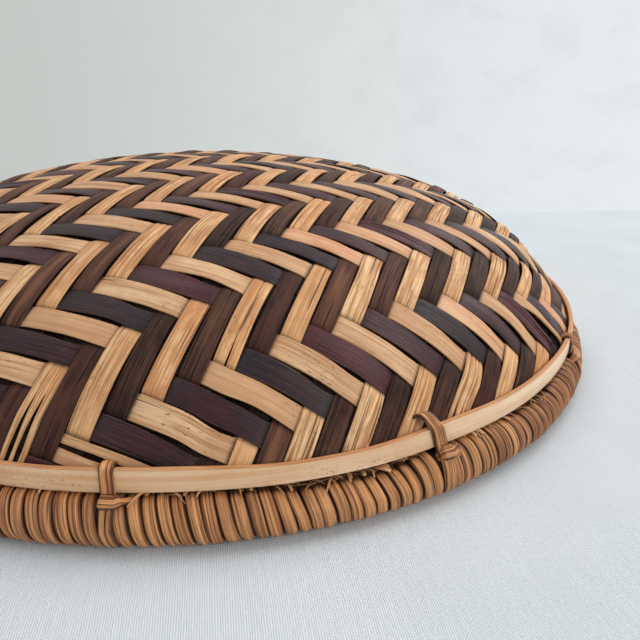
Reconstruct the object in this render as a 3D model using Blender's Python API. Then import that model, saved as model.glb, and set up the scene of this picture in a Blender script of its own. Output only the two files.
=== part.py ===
"""A winnowing basket lying rim down: a woven dome held between two bent hoops, on a rim lashed with cane.

Metres, +Z up. The origin is the centre of the circle on which the lashed rim stands, so the bowl opens
downwards. Eleven ties of cane hold the dome and its hoops down on the rim.
"""

import math

import bmesh
import bpy
import numpy as np
from mathutils import Vector
from mathutils.geometry import delaunay_2d_cdt

# Gap between pieces that touch
CLEARANCE = 0.0003

# Lashed rim, measured over its cane
RIM_RADIUS = 0.250
RIM_WIDTH = 0.0165
RIM_HEIGHT = 0.0225
FOOT_SET_BACK = 0.0040  # from the widest line of the rim in to the edge of its flat foot
CROWN_SET_BACK = 0.0052  # from the widest line in to the edge of its flat crown
BELLY_HEIGHT = 0.0098  # of the widest line, above the foot

# Cane, split: flat towards the rim, with a ridge outwards
CANE_WIDTH = 0.0048
CANE_THICKNESS = 0.0016
FOOT_FLAT = 0.0014  # width of the flat that the ridge is worn to where the rim stands
TURN_GAP = 0.0005  # least gap between neighbouring turns
START_DROP = 0.0027  # how far under the crown a length of cane starts

# Woven dome
MAT_THICKNESS = 0.0020
SKIRT_HEIGHT = 0.0071  # of its upright edge, between the hoops
DOME_RISE = 0.0838  # from the top of that edge to the crown of the dome
BOWL_SHARE = 0.55  # of the rise that is an even bowl; the rest is the rounded shoulder
SHOULDER_POWER = 7.0
RIDGED_SHARE = 0.94  # how far out from the crown the mat has ridges
RING_SHARES = (0.0, 0.16, 0.34, 0.50, 0.64, 0.76, 0.86, RIDGED_SHARE, 0.975, 1.0)

# Ridges of the mat, where its strips arch over each other, as parallel lines seen from above
RIDGE_RISE = 0.0014
RIDGE_SPACING = 0.0318  # measured over the dome
RIDGE_OFFSET = 0.0033  # from the crown of the dome to the middle ridge
RIDGE_HEADING = math.radians(22.3)
RIDGE_STEP = 0.0170  # between points along a ridge
RIDGE_MARGIN = 0.0060  # from the ends of the ridges to the plain edge of the mat

# Bent hoops on either side of the dome's edge
OUTER_HOOP_THICKNESS = 0.0024
OUTER_HOOP_HEIGHT = 0.0104
INNER_HOOP_THICKNESS = 0.0026
LAP_LENGTH = 0.042  # where the two ends of a hoop overlap
LAP_TIP = 0.0005  # thickness of the tapered end in the lap
BUTT_GAP = 0.0010  # between the two ends of a rim hoop under the lashing

# Ties
TIE_COUNT = 11
TIE_WIDTH = 0.0044
TIE_THICKNESS = 0.0014
KNOT_WIDTH = 0.0132
KNOT_HEIGHT = 0.0056
KNOT_THICKNESS = 0.0020
KNOT_LIFT = 0.0007  # how far the tie stands proud of the cane at the knot
FIRST_TIE = math.radians(-100.3)

# Where the ends of the hoops meet
OUTER_LAP_AT = math.radians(90)
INNER_LAP_AT = math.radians(200)
OUTER_BUTT_AT = math.radians(60)
INNER_BUTT_AT = math.radians(150)

# Fineness of the meshes
STATIONS = 72  # faces round a full circle
STEP = 2 * math.pi / STATIONS
NEAR_SHARE = 0.01  # of a STEP: angles that are nearer than this are one
SMOOTH_BELOW = math.radians(35)
SAMPLES = 13  # along each straight of a cane, where its least gap is measured
PROFILE_SAMPLES = 200  # along the dome, where the way over it is measured

# Colour and roughness of each material
LOOKS = {
    "golden_cane": ((0.42, 0.22, 0.10), 0.45),
    "pale_bamboo": ((0.72, 0.55, 0.35), 0.50),
    "woven_strips": ((0.30, 0.18, 0.11), 0.60),
    "bent_rod": ((0.45, 0.30, 0.17), 0.70),
}

# Places that follow from the sizes above
INNER_RADIUS = RIM_RADIUS - RIM_WIDTH
SEAT_HEIGHT = RIM_HEIGHT + CLEARANCE
MAT_INNER_RADIUS = INNER_RADIUS + INNER_HOOP_THICKNESS + CLEARANCE
MAT_RADIUS = MAT_INNER_RADIUS + MAT_THICKNESS
HOOP_INNER_RADIUS = MAT_RADIUS + CLEARANCE
HOOP_RADIUS = HOOP_INNER_RADIUS + OUTER_HOOP_THICKNESS
HOOP_TOP = SEAT_HEIGHT + OUTER_HOOP_HEIGHT
SKIRT_TOP = SEAT_HEIGHT + SKIRT_HEIGHT
FACET_SAG = RIM_RADIUS * (1 - math.cos(STEP / 2))
TIE_SPACING = 2 * math.pi / TIE_COUNT
PLACES = int(TIE_SPACING * INNER_RADIUS / (CANE_WIDTH + TURN_GAP))
TURNS = PLACES - 1
TURN_ANGLE = TIE_SPACING / PLACES

# Outline of the lashed rim as (radius, height), anticlockwise from its inner top edge
RIM_OUTLINE = [
    Vector((INNER_RADIUS, RIM_HEIGHT)),
    Vector((INNER_RADIUS, 0.0)),
    Vector((RIM_RADIUS - FOOT_SET_BACK, 0.0)),
    Vector((RIM_RADIUS, BELLY_HEIGHT)),
    Vector((RIM_RADIUS - CROWN_SET_BACK, RIM_HEIGHT)),
]
BELLY = 3
CROWN = 4


def clear_scene():
    for item in list(bpy.data.objects):
        bpy.data.objects.remove(item, do_unlink=True)


def make_material(name):
    colour, roughness = LOOKS[name]
    material = bpy.data.materials.new(name)
    material.use_nodes = True
    shader = material.node_tree.nodes["Principled BSDF"]
    shader.inputs["Base Color"].default_value = (*colour, 1.0)
    shader.inputs["Roughness"].default_value = roughness
    shader.inputs["Metallic"].default_value = 0.0
    return material


def polar(radius, angle, height):
    return Vector((radius * math.cos(angle), radius * math.sin(angle), height))


def left_of(start, end):
    """Unit normal on the left of the way from start to end."""
    way = (end - start).normalized()
    return Vector((-way.y, way.x))


def inset(outline, depth, closed=True):
    """The outline moved to its left by depth, with each corner on both of its moved edges."""
    moved = []
    last = len(outline) - 1
    for i, here in enumerate(outline):
        before = outline[i - 1] if closed or i > 0 else None
        after = outline[(i + 1) % len(outline)] if closed or i < last else None
        normals = []
        if before is not None:
            normals.append(left_of(before, here))
        if after is not None:
            normals.append(left_of(here, after))
        mean = sum(normals, Vector((0.0, 0.0))).normalized()
        moved.append(here + mean * (depth / mean.dot(normals[0])))
    return moved


def add_object(name, mesh, material):
    """Ends a bmesh: normals out, one object of its own."""
    bmesh.ops.recalc_face_normals(mesh, faces=mesh.faces)
    data = bpy.data.meshes.new(name)
    mesh.to_mesh(data)
    mesh.free()
    data.materials.append(material)
    item = bpy.data.objects.new(name, data)
    bpy.context.scene.collection.objects.link(item)
    return item


def add_row(mesh, section):
    """Vertices for a section. Points that are the same object share one."""
    made = {id(point): mesh.verts.new(point) for point in section}
    return [made[id(point)] for point in section]


def add_face(mesh, corners):
    """A face with its repeated corners left out, or none if fewer than three are left."""
    corners = list(dict.fromkeys(corners))
    if len(corners) > 2:
        mesh.faces.new(corners)


def loft(name, sections, material):
    """One solid through sections of equally many points, capped at both ends."""
    mesh = bmesh.new()
    rows = [add_row(mesh, section) for section in sections]
    for first, second in zip(rows, rows[1:]):
        for i in range(len(first)):
            j = (i + 1) % len(first)
            add_face(mesh, (first[i], first[j], second[j], second[i]))
    add_face(mesh, rows[0])
    add_face(mesh, reversed(rows[-1]))
    return add_object(name, mesh, material)


def revolve(mesh, outline):
    """Adds a surface of revolution and returns its rings. The outline ends on the axis."""
    rings = []
    for place in outline:
        if place.x > 0:
            rings.append([mesh.verts.new(polar(place.x, i * STEP, place.y)) for i in range(STATIONS)])
        else:
            rings.append([mesh.verts.new(polar(0.0, 0.0, place.y))] * STATIONS)
    for first, second in zip(rings, rings[1:]):
        for i in range(STATIONS):
            j = (i + 1) % STATIONS
            add_face(mesh, (first[i], first[j], second[j], second[i]))
    return rings


def outline_shares():
    """How much of the way round the rim's outline lies before each of its corners."""
    lengths = [(b - a).length for a, b in zip(RIM_OUTLINE, RIM_OUTLINE[1:] + RIM_OUTLINE[:1])]
    total = sum(lengths)
    return [sum(lengths[:i]) / total for i in range(len(lengths))]


def cane_section(outer, inner, angle, flat):
    """One place of a cane: its flat back on the rim, and outwards a ridge or a flat of the given width."""
    along = Vector((-math.sin(angle), math.cos(angle), 0.0))
    back = polar(inner.x, angle, inner.y)
    ridge = polar(outer.x, angle, outer.y)
    side = along * (CANE_WIDTH / 2)
    tops = [ridge + along * (flat / 2), ridge - along * (flat / 2)] if flat else [ridge, ridge]
    return [back - side, back + side, *tops]


def wound_sections(first_angle):
    """One length of cane, wound TURNS times round the rim: up the outside and clockwise seen from above."""
    shares = outline_shares()
    inner = inset(RIM_OUTLINE, CANE_THICKNESS)
    flats = [FOOT_FLAT if corner.y == 0 else 0 for corner in RIM_OUTLINE]
    corners = list(zip(shares, RIM_OUTLINE, inner, flats))
    start_share = shares[1] * START_DROP / RIM_HEIGHT
    start = RIM_OUTLINE[0] - Vector((0.0, START_DROP))
    start_back = start + Vector((CANE_THICKNESS, 0.0))
    sections = [cane_section(start, start_back, first_angle - start_share * TURN_ANGLE, 0)]
    for turn in range(TURNS):
        for share, outer, back, flat in corners[1:]:
            sections.append(cane_section(outer, back, first_angle - (turn + share) * TURN_ANGLE, flat))
        end_angle = first_angle - (turn + 1) * TURN_ANGLE
        sections.append(cane_section(RIM_OUTLINE[0], inner[0], end_angle, 0))
    return sections


def least_gap(sections):
    """Least distance between two turns of a wound cane, measured on points along its edges."""
    corners = np.array([[tuple(point) for point in section] for section in sections])
    cuts = np.linspace(0.0, 1.0, SAMPLES)[:, None, None]
    runs = [corners[i] * (1 - cuts) + corners[i + 1] * cuts for i in range(len(corners) - 1)]
    places = len(RIM_OUTLINE)
    turns = [np.concatenate(runs[i : i + places]).reshape(-1, 3) for i in range(0, len(runs), places)]
    least = math.inf
    for one, other in zip(turns, turns[1:]):
        inside = len(one) // places
        far = other[inside:]
        apart = np.linalg.norm(one[:, None, :] - far[None, :, :], axis=2)
        least = min(least, float(apart.min()))
    return least


def wind_lashings(material):
    """One length of cane between each pair of ties."""
    before_belly = outline_shares()[BELLY] * TURN_ANGLE
    least = math.inf
    for i in range(TIE_COUNT):
        first_angle = FIRST_TIE + (i + 1) * TIE_SPACING - TURN_ANGLE + before_belly
        sections = wound_sections(first_angle)
        least = min(least, least_gap(sections))
        loft(f"rim_lashing_{i + 1:02d}", sections, material)
    print(f"least gap of a lashing to itself: {least * 1000:.2f} mm")


def ring_section(outline, angle):
    return [polar(place.x, angle, place.y) for place in outline]


def make_rim_hoop(name, outline, butt_at, material):
    """A hoop hidden under the lashing, its two ends a small gap apart."""
    half_gap = BUTT_GAP / RIM_RADIUS
    start = butt_at + half_gap
    end = butt_at + 2 * math.pi - half_gap
    inner_stations = [butt_at + i * STEP for i in range(1, STATIONS)]
    angles = [start, *inner_stations, end]
    loft(name, [ring_section(outline, angle) for angle in angles], material)


def make_rim_hoops(material):
    """Two hoops side by side fill the lashing, one on each side of its middle."""
    inner = inset(RIM_OUTLINE, CANE_THICKNESS + CLEARANCE + FACET_SAG)
    bottom, top = inner[1].y, inner[0].y
    middle = (inner[1].x + inner[BELLY].x) / 2
    half = CLEARANCE / 2
    inside = [inner[0], inner[1], Vector((middle - half, bottom)), Vector((middle - half, top))]
    outside = [Vector((middle + half, bottom)), *inner[2:], Vector((middle + half, top))]
    make_rim_hoop("inner_rim_hoop", inside, INNER_BUTT_AT, material)
    make_rim_hoop("outer_rim_hoop", outside, OUTER_BUTT_AT, material)


def band_section(inner, outer, bottom, top, angle):
    corners = ((inner, bottom), (outer, bottom), (outer, top), (inner, top))
    return [polar(radius, angle, height) for radius, height in corners]


def angles_between(start, end):
    """Start, end and each whole STEP between them."""
    first = math.floor(start / STEP + NEAR_SHARE) + 1
    last = math.ceil(end / STEP - NEAR_SHARE) - 1
    return [start, *(i * STEP for i in range(first, last + 1)), end]


def facet_share(angle):
    """How far out a ring's flat faces reach at an angle, as a share of the radius of their corners."""
    return math.cos(STEP / 2) / math.cos(angle % STEP - STEP / 2)


def bend_hoop(name, inner, thickness, top, lap_at, material):
    """A strip bent into a ring on the lashed rim. Its two tapered ends overlap on a slant."""
    outer = inner + thickness
    lap = LAP_LENGTH / inner
    slant = thickness - 2 * LAP_TIP - CLEARANCE
    lapped = angles_between(lap_at, lap_at + lap)
    slants = [inner + LAP_TIP + slant * (angle - lap_at) / lap for angle in lapped]
    single = angles_between(lap_at + lap, lap_at + 2 * math.pi)[1:-1]
    places = [(angle, inner, middle) for angle, middle in zip(lapped, slants)]
    places += [(angle, inner, outer) for angle in single]
    places += [(angle, middle + CLEARANCE, outer) for angle, middle in zip(lapped, slants)]
    sections = []
    for angle, low, high in places:
        share = facet_share(angle)
        sections.append(band_section(low * share, high * share, SEAT_HEIGHT, top, angle))
    loft(name, sections, material)


def make_dome_hoops(material):
    """One hoop on each side of the dome's upright edge."""
    bend_hoop("outer_hoop", HOOP_INNER_RADIUS, OUTER_HOOP_THICKNESS, HOOP_TOP, OUTER_LAP_AT, material)
    inner_top = inner_dome_outline()[-2].y - CLEARANCE
    bend_hoop("inner_hoop", INNER_RADIUS, INNER_HOOP_THICKNESS, inner_top, INNER_LAP_AT, material)


def dome_height(radius):
    """Height of the dome's outer face, without its ridges."""
    share = radius / MAT_RADIUS
    fall = BOWL_SHARE * share**2 + (1 - BOWL_SHARE) * share**SHOULDER_POWER
    return SKIRT_TOP + DOME_RISE * (1 - fall)


def dome_outline():
    """Outer face of the woven dome from its crown to its edge, as (radius, height)."""
    radii = [MAT_RADIUS * share for share in RING_SHARES]
    places = [Vector((radius, dome_height(radius))) for radius in radii]
    places.append(Vector((MAT_RADIUS, SEAT_HEIGHT)))
    return places


def inner_dome_outline():
    """The dome's inner face, a mat's thickness behind the outer one."""
    behind = inset(dome_outline(), -MAT_THICKNESS, closed=False)
    behind[0] = Vector((0.0, dome_outline()[0].y - MAT_THICKNESS))
    return behind


def ridge_rows():
    """Rows of points on the ridges and in the valleys between them, seen from above, with each row's lift."""
    reach = RIDGED_SHARE * MAT_RADIUS
    radii = np.linspace(0.0, reach, PROFILE_SAMPLES)
    steps = np.hypot(np.diff(radii), np.diff(dome_height(radii)))
    run = np.concatenate([[0.0], np.cumsum(steps)])
    last = 2 * int(run[-1] / RIDGE_SPACING)
    ahead = Vector((math.cos(RIDGE_HEADING), math.sin(RIDGE_HEADING)))
    left = Vector((-ahead.y, ahead.x))
    rows = []
    for i in range(-last, last + 1):
        away = RIDGE_OFFSET + i * RIDGE_SPACING / 2
        aside = math.copysign(float(np.interp(abs(away), run, radii)), away)
        half = math.sqrt(max(0.0, (reach - RIDGE_MARGIN) ** 2 - aside**2))
        if half < RIDGE_STEP:
            continue
        count = round(2 * half / RIDGE_STEP)
        row = [ahead * (half * (2 * k / count - 1)) + left * aside for k in range(count + 1)]
        rows.append((row, 0.0 if i % 2 else RIDGE_RISE))
    return rows


def add_ridged_crown(mesh, ring):
    """Fills a ring of vertices with the top of the dome, whose edges follow the ridges and valleys."""
    plan = [vertex.co.xy for vertex in ring]
    verts = list(ring)
    edges = []
    for row, lift in ridge_rows():
        edges += [(len(plan) + k, len(plan) + k + 1) for k in range(len(row) - 1)]
        plan += row
        verts += [mesh.verts.new((*place, dome_height(place.length) + lift)) for place in row]
    _, _, triangles, sources, _, _ = delaunay_2d_cdt(plan, edges, [], 0, 0.0)
    for corners in triangles:
        mesh.faces.new([verts[sources[corner][0]] for corner in corners])


def make_dome(material):
    """The mat: ridged on its outer face up to a ring near its edge, and even on its inner face."""
    mesh = bmesh.new()
    outer = dome_outline()[RING_SHARES.index(RIDGED_SHARE) :]
    rings = revolve(mesh, outer + list(reversed(inner_dome_outline())))
    add_ridged_crown(mesh, rings[0])
    return add_object("woven_dome", mesh, material)


def tie_path():
    """Outer face of a tie as (radius, height): round the rim, over the outer hoop, in through the dome."""
    rise = CLEARANCE + TIE_THICKNESS
    slope = left_of(RIM_OUTLINE[BELLY], RIM_OUTLINE[CROWN])
    shoulder = RIM_OUTLINE[CROWN] - slope * KNOT_LIFT
    hidden = INNER_RADIUS - CLEARANCE - FACET_SAG - TIE_THICKNESS
    return [
        RIM_OUTLINE[0] - Vector((0.0, START_DROP)),
        *RIM_OUTLINE[1:CROWN],
        shoulder,
        Vector((HOOP_RADIUS + rise, SEAT_HEIGHT + rise)),
        Vector((HOOP_RADIUS + rise, HOOP_TOP + rise)),
        Vector((hidden, HOOP_TOP + rise)),
        Vector((hidden, SEAT_HEIGHT)),
    ]


def tie_angles(middle):
    """A tie leans like the turns beside it as far as the knot, and runs upright from there."""
    shares = outline_shares()
    first = shares[1] * START_DROP / RIM_HEIGHT
    leaning = [first, *shares[1:]]
    angles = [middle - (share - shares[BELLY]) * TURN_ANGLE for share in leaning]
    return angles + [angles[-1]] * (len(tie_path()) - len(angles))


def strap_section(outer, inner, angle, width):
    half = width / 2
    along = Vector((-math.sin(angle), math.cos(angle), 0.0))
    face = polar(outer.x, angle, outer.y)
    back = polar(inner.x, angle, inner.y)
    return [face - along * half, face + along * half, back + along * half, back - along * half]


def make_knot(angle, material):
    """Cross band of a tie, over the upper outer side of the lashing."""
    belly, crown = RIM_OUTLINE[BELLY], RIM_OUTLINE[CROWN]
    out = -left_of(belly, crown)
    up = (crown - belly).normalized()
    top = crown + out * CLEARANCE
    low = top - up * KNOT_HEIGHT
    upper = [polar(place.x, angle, place.y) for place in (top, top + out * KNOT_THICKNESS)]
    lower = [polar(place.x, angle, place.y) for place in (low, low + out * KNOT_THICKNESS)]
    profile = [lower[0], lower[1], upper[1], upper[0]]
    along = Vector((-math.sin(angle), math.cos(angle), 0.0)) * (KNOT_WIDTH / 2)
    ends = [[point - along for point in profile], [point + along for point in profile]]
    return loft("knot", ends, material)


def join_with_boolean(item, other, operation):
    """Applies one Boolean to item and removes the other mesh."""
    step = item.modifiers.new(operation.lower(), "BOOLEAN")
    step.operation = operation
    step.object = other
    step.solver = "EXACT"
    bpy.context.view_layer.update()
    graph = bpy.context.evaluated_depsgraph_get()
    result = bpy.data.meshes.new_from_object(item.evaluated_get(graph))
    item.modifiers.clear()
    item.data = result
    bpy.data.objects.remove(other, do_unlink=True)


def make_ties(material):
    path = tie_path()
    inner = inset(path, TIE_THICKNESS, closed=False)
    for i in range(TIE_COUNT):
        angles = tie_angles(FIRST_TIE + i * TIE_SPACING)
        sections = [strap_section(*place) for place in zip(path, inner, angles, [TIE_WIDTH] * len(path))]
        tie = loft(f"tie_{i + 1:02d}", sections, material)
        join_with_boolean(tie, make_knot(angles[CROWN], material), "UNION")


def pierce_dome(dome, material):
    """A hole in the dome for each tie."""
    path = tie_path()
    run = path[-3]
    height = TIE_THICKNESS + 2 * CLEARANCE
    width = TIE_WIDTH + 2 * CLEARANCE
    middle = run.y - TIE_THICKNESS / 2
    for i in range(TIE_COUNT):
        angle = tie_angles(FIRST_TIE + i * TIE_SPACING)[-1]
        along = Vector((-math.sin(angle), math.cos(angle), 0.0)) * (width / 2)
        ends = []
        for radius in (path[-1].x, run.x):
            low = polar(radius, angle, middle - height / 2)
            high = polar(radius, angle, middle + height / 2)
            ends.append([low - along, low + along, high + along, high - along])
        cutter = loft("tie_hole", ends, material)
        join_with_boolean(dome, cutter, "DIFFERENCE")


def shade(item):
    item.data.shade_smooth()
    item.data.set_sharp_from_angle(angle=SMOOTH_BELOW)


def build():
    clear_scene()
    cane, pale, weave, rod = map(make_material, LOOKS)
    wind_lashings(cane)
    make_rim_hoops(rod)
    make_dome_hoops(pale)
    dome = make_dome(weave)
    pierce_dome(dome, weave)
    make_ties(cane)
    shade(dome)


build()
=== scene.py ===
"""Looks of a winnowing basket lying rim down: a twill of split strips, bent hoops and a cane-lashed rim.

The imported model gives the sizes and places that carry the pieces. Each strip, hoop, length of cane and tie is
a piece of its own. Metres, +Z up, with the origin on the table under the middle of the basket.
"""

import logging
import math
from dataclasses import dataclass, field, replace
from enum import Enum

import bpy
import numpy as np
from mathutils import Matrix, Vector

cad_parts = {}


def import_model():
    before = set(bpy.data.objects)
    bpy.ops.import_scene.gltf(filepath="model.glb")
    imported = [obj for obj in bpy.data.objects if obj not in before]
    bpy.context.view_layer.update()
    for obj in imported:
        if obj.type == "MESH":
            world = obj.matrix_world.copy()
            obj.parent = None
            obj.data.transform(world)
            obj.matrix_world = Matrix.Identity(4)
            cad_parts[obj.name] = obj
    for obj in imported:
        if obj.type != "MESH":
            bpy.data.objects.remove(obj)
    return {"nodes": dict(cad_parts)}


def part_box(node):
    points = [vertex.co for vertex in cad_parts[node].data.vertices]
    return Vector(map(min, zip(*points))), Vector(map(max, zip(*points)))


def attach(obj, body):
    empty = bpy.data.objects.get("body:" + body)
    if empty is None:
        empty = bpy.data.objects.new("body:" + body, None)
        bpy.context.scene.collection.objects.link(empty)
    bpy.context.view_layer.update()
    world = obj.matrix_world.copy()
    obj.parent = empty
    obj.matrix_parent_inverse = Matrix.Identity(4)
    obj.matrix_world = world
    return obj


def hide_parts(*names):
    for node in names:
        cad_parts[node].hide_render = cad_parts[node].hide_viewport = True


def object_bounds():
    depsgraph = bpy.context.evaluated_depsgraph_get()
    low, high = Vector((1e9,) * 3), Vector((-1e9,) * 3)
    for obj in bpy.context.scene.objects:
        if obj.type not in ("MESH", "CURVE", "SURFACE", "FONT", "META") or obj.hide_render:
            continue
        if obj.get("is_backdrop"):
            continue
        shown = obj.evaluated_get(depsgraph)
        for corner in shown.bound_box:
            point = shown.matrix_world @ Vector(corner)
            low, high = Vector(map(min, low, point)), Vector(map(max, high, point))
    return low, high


Array = np.ndarray
Triple = tuple[float, float, float]
Colour = Triple

BODY = "root"
MILLIMETRE = 0.001
TINY = 1e-12  # keeps a division by a length from failing


def unit(rows: Array) -> Array:
    """Each row scaled to a length of 1."""
    return rows / np.maximum(np.linalg.norm(rows, axis=-1, keepdims=True), TINY)


def ease(value: Array, low: float, high: float) -> Array:
    """A smooth step.

    Args:
        value: Where to read the step.
        low: The value up to which the step is 0.
        high: The value from which it is 1.

    Returns:
        The height of the step at each value.
    """
    share = np.clip((value - low) / (high - low), 0.0, 1.0)
    return share * share * (3 - 2 * share)


def through(points: Array, at: Array) -> Array:
    """A smooth curve through points.

    Args:
        points: One point or number for each whole number from 0.
        at: Places on the curve, as numbers on that scale.

    Returns:
        The curve's point or number at each place.
    """
    last = len(points) - 1
    start = np.clip(np.floor(at).astype(int), 0, last - 1)
    share = (at - start).reshape(-1, *([1] * (points.ndim - 1)))
    before, here, after, beyond = (points[np.clip(start + step, 0, last)] for step in (-1, 0, 1, 2))
    bend = 2 * before - 5 * here + 4 * after - beyond
    turn = 3 * here - before - 3 * after + beyond
    return 0.5 * (2 * here + (after - before) * share + bend * share**2 + turn * share**3)


def wander(rng: np.random.Generator, at: Array, spacing: float) -> Array:
    """Slow random change along a line.

    Args:
        rng: Source of the random values.
        at: Places on the line.
        spacing: Distance between two independent values.

    Returns:
        A value for each place, mostly between -1 and 1.
    """
    steps = (at - at.min()) / spacing + 1
    return through(rng.uniform(-1, 1, int(steps.max()) + 3), steps)


def polar(radius: Array, angle: Array, height: Array) -> Array:
    """Points from their distance to the axis, angle round it and height."""
    radius, angle, height = np.broadcast_arrays(radius, angle, height)
    return np.stack([radius * np.cos(angle), radius * np.sin(angle), height], axis=-1)


def distances(points: Array) -> Array:
    """How far along a line of points each of them is."""
    return np.concatenate([[0.0], np.cumsum(np.linalg.norm(np.diff(points, axis=0), axis=1))])


def spread(values: Array, shape: tuple[int, ...]) -> Array:
    """One value for each ring of a tube, given to all points of that ring."""
    return np.broadcast_to(values[:, None], shape)


class Solid:
    """The mesh of one piece while tubes are added to it.

    Each point carries two vectors and a number for its material: grain, which is the distance along and
    across the fibres and a seed, look, which is its tone, its second tone and how near it is to an edge, and
    a number for the painted shade laid on its colour, which is 1 where the piece lies under another or deep in
    the gaps round the hoop.
    """

    def __init__(self) -> None:
        """Starts with no points."""
        self.points: list[Array] = []
        self.grain: list[Array] = []
        self.look: list[Array] = []
        self.recess: list[Array] = []
        self.faces: list[list[int]] = []
        self.count = 0

    def add_tube(self, rings: Array, grain: Array, look: Array, recess: Array | float = 0.0) -> None:
        """Adds a closed tube.

        Args:
            rings: Its rings of points, as (ring, point, 3).
            grain: Vectors for the points, of that shape or one that spreads to it.
            look: The same for the second vector.
            recess: The painted shade of the points, numbers of the rings' shape or one that spreads to it.
        """
        stations, around = rings.shape[:2]
        ring = np.arange(stations - 1)[:, None] * around
        side = np.arange(around)
        other = (side + 1) % around
        quads = np.stack([ring + side, ring + other, ring + around + other, ring + around + side], axis=-1)
        quads = quads.reshape(-1, 4)
        points = rings.reshape(-1, 3)
        corners = points[quads]
        areas = np.cross(corners[:, 2] - corners[:, 0], corners[:, 3] - corners[:, 1])
        inside_out = float((corners.mean(axis=1) * areas).sum()) < 0
        last = (stations - 1) * around
        faces = [*quads.tolist(), side[::-1].tolist(), (side + last).tolist()]
        if inside_out:
            faces = [face[::-1] for face in faces]
        self.faces += [[corner + self.count for corner in face] for face in faces]
        self.points.append(points)
        self.grain.append(np.broadcast_to(grain, rings.shape).reshape(-1, 3))
        self.look.append(np.broadcast_to(look, rings.shape).reshape(-1, 3))
        self.recess.append(np.broadcast_to(recess, rings.shape[:2]).reshape(-1))
        self.count += len(points)

    def make(self, name: str, material: bpy.types.Material, crease: float = 40.0) -> bpy.types.Object:
        """Ends the mesh.

        Args:
            name: Name of the piece.
            material: Its finish.
            crease: Edges that turn by more than this many degrees stay sharp.

        Returns:
            The piece.
        """
        mesh = bpy.data.meshes.new(name)
        mesh.from_pydata(np.concatenate(self.points).tolist(), [], self.faces)
        for label, rows in (("grain", self.grain), ("look", self.look)):
            layer = mesh.attributes.new(label, "FLOAT_VECTOR", "POINT")
            layer.data.foreach_set("vector", np.concatenate(rows).astype(np.float32).ravel())
        layer = mesh.attributes.new("recess", "FLOAT", "POINT")
        layer.data.foreach_set("value", np.concatenate(self.recess).astype(np.float32))
        mesh.materials.append(material)
        mesh.shade_smooth()
        mesh.set_sharp_from_angle(angle=math.radians(crease))
        piece = bpy.data.objects.new(name, mesh)
        bpy.context.scene.collection.objects.link(piece)
        return piece


def fit(piece: bpy.types.Object, slot: str, *nodes: str) -> None:
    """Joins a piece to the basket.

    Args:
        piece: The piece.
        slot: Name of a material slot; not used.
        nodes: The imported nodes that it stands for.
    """
    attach(piece, BODY)
    if nodes:
        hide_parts(*nodes)


class Link:
    """One output of a node. Python's operators on it add Math nodes."""

    def __init__(self, graph: "Graph", socket: bpy.types.NodeSocket) -> None:
        """Wraps the socket."""
        self.graph = graph
        self.socket = socket

    def _math(self, kind: str, first: "Link | float", second: "Link | float" = 0.0) -> "Link":
        """A Math node on one or two values."""
        return self.graph.node("ShaderNodeMath", {"operation": kind}, {0: first, 1: second})

    def __add__(self, other: "Link | float") -> "Link":
        """Sum."""
        return self._math("ADD", self, other)

    __radd__ = __add__

    def __sub__(self, other: "Link | float") -> "Link":
        """Difference."""
        return self._math("SUBTRACT", self, other)

    def __rsub__(self, other: "Link | float") -> "Link":
        """Difference the other way round."""
        return self._math("SUBTRACT", other, self)

    def __mul__(self, other: "Link | float") -> "Link":
        """Product."""
        return self._math("MULTIPLY", self, other)

    __rmul__ = __mul__

    def sine(self) -> "Link":
        """Sine, for an angle in radians."""
        return self._math("SINE", self)

    def between(self, low: float, high: float) -> "Link":
        """A smooth step that is 0 at low and 1 at high."""
        sockets = {"Value": self, "From Min": low, "From Max": high}
        return self.graph.node("ShaderNodeMapRange", {"interpolation_type": "SMOOTHSTEP"}, sockets)

    def beside(self, output: str) -> "Link":
        """Another output of the same node."""
        return Link(self.graph, self.socket.node.outputs[output])


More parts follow.
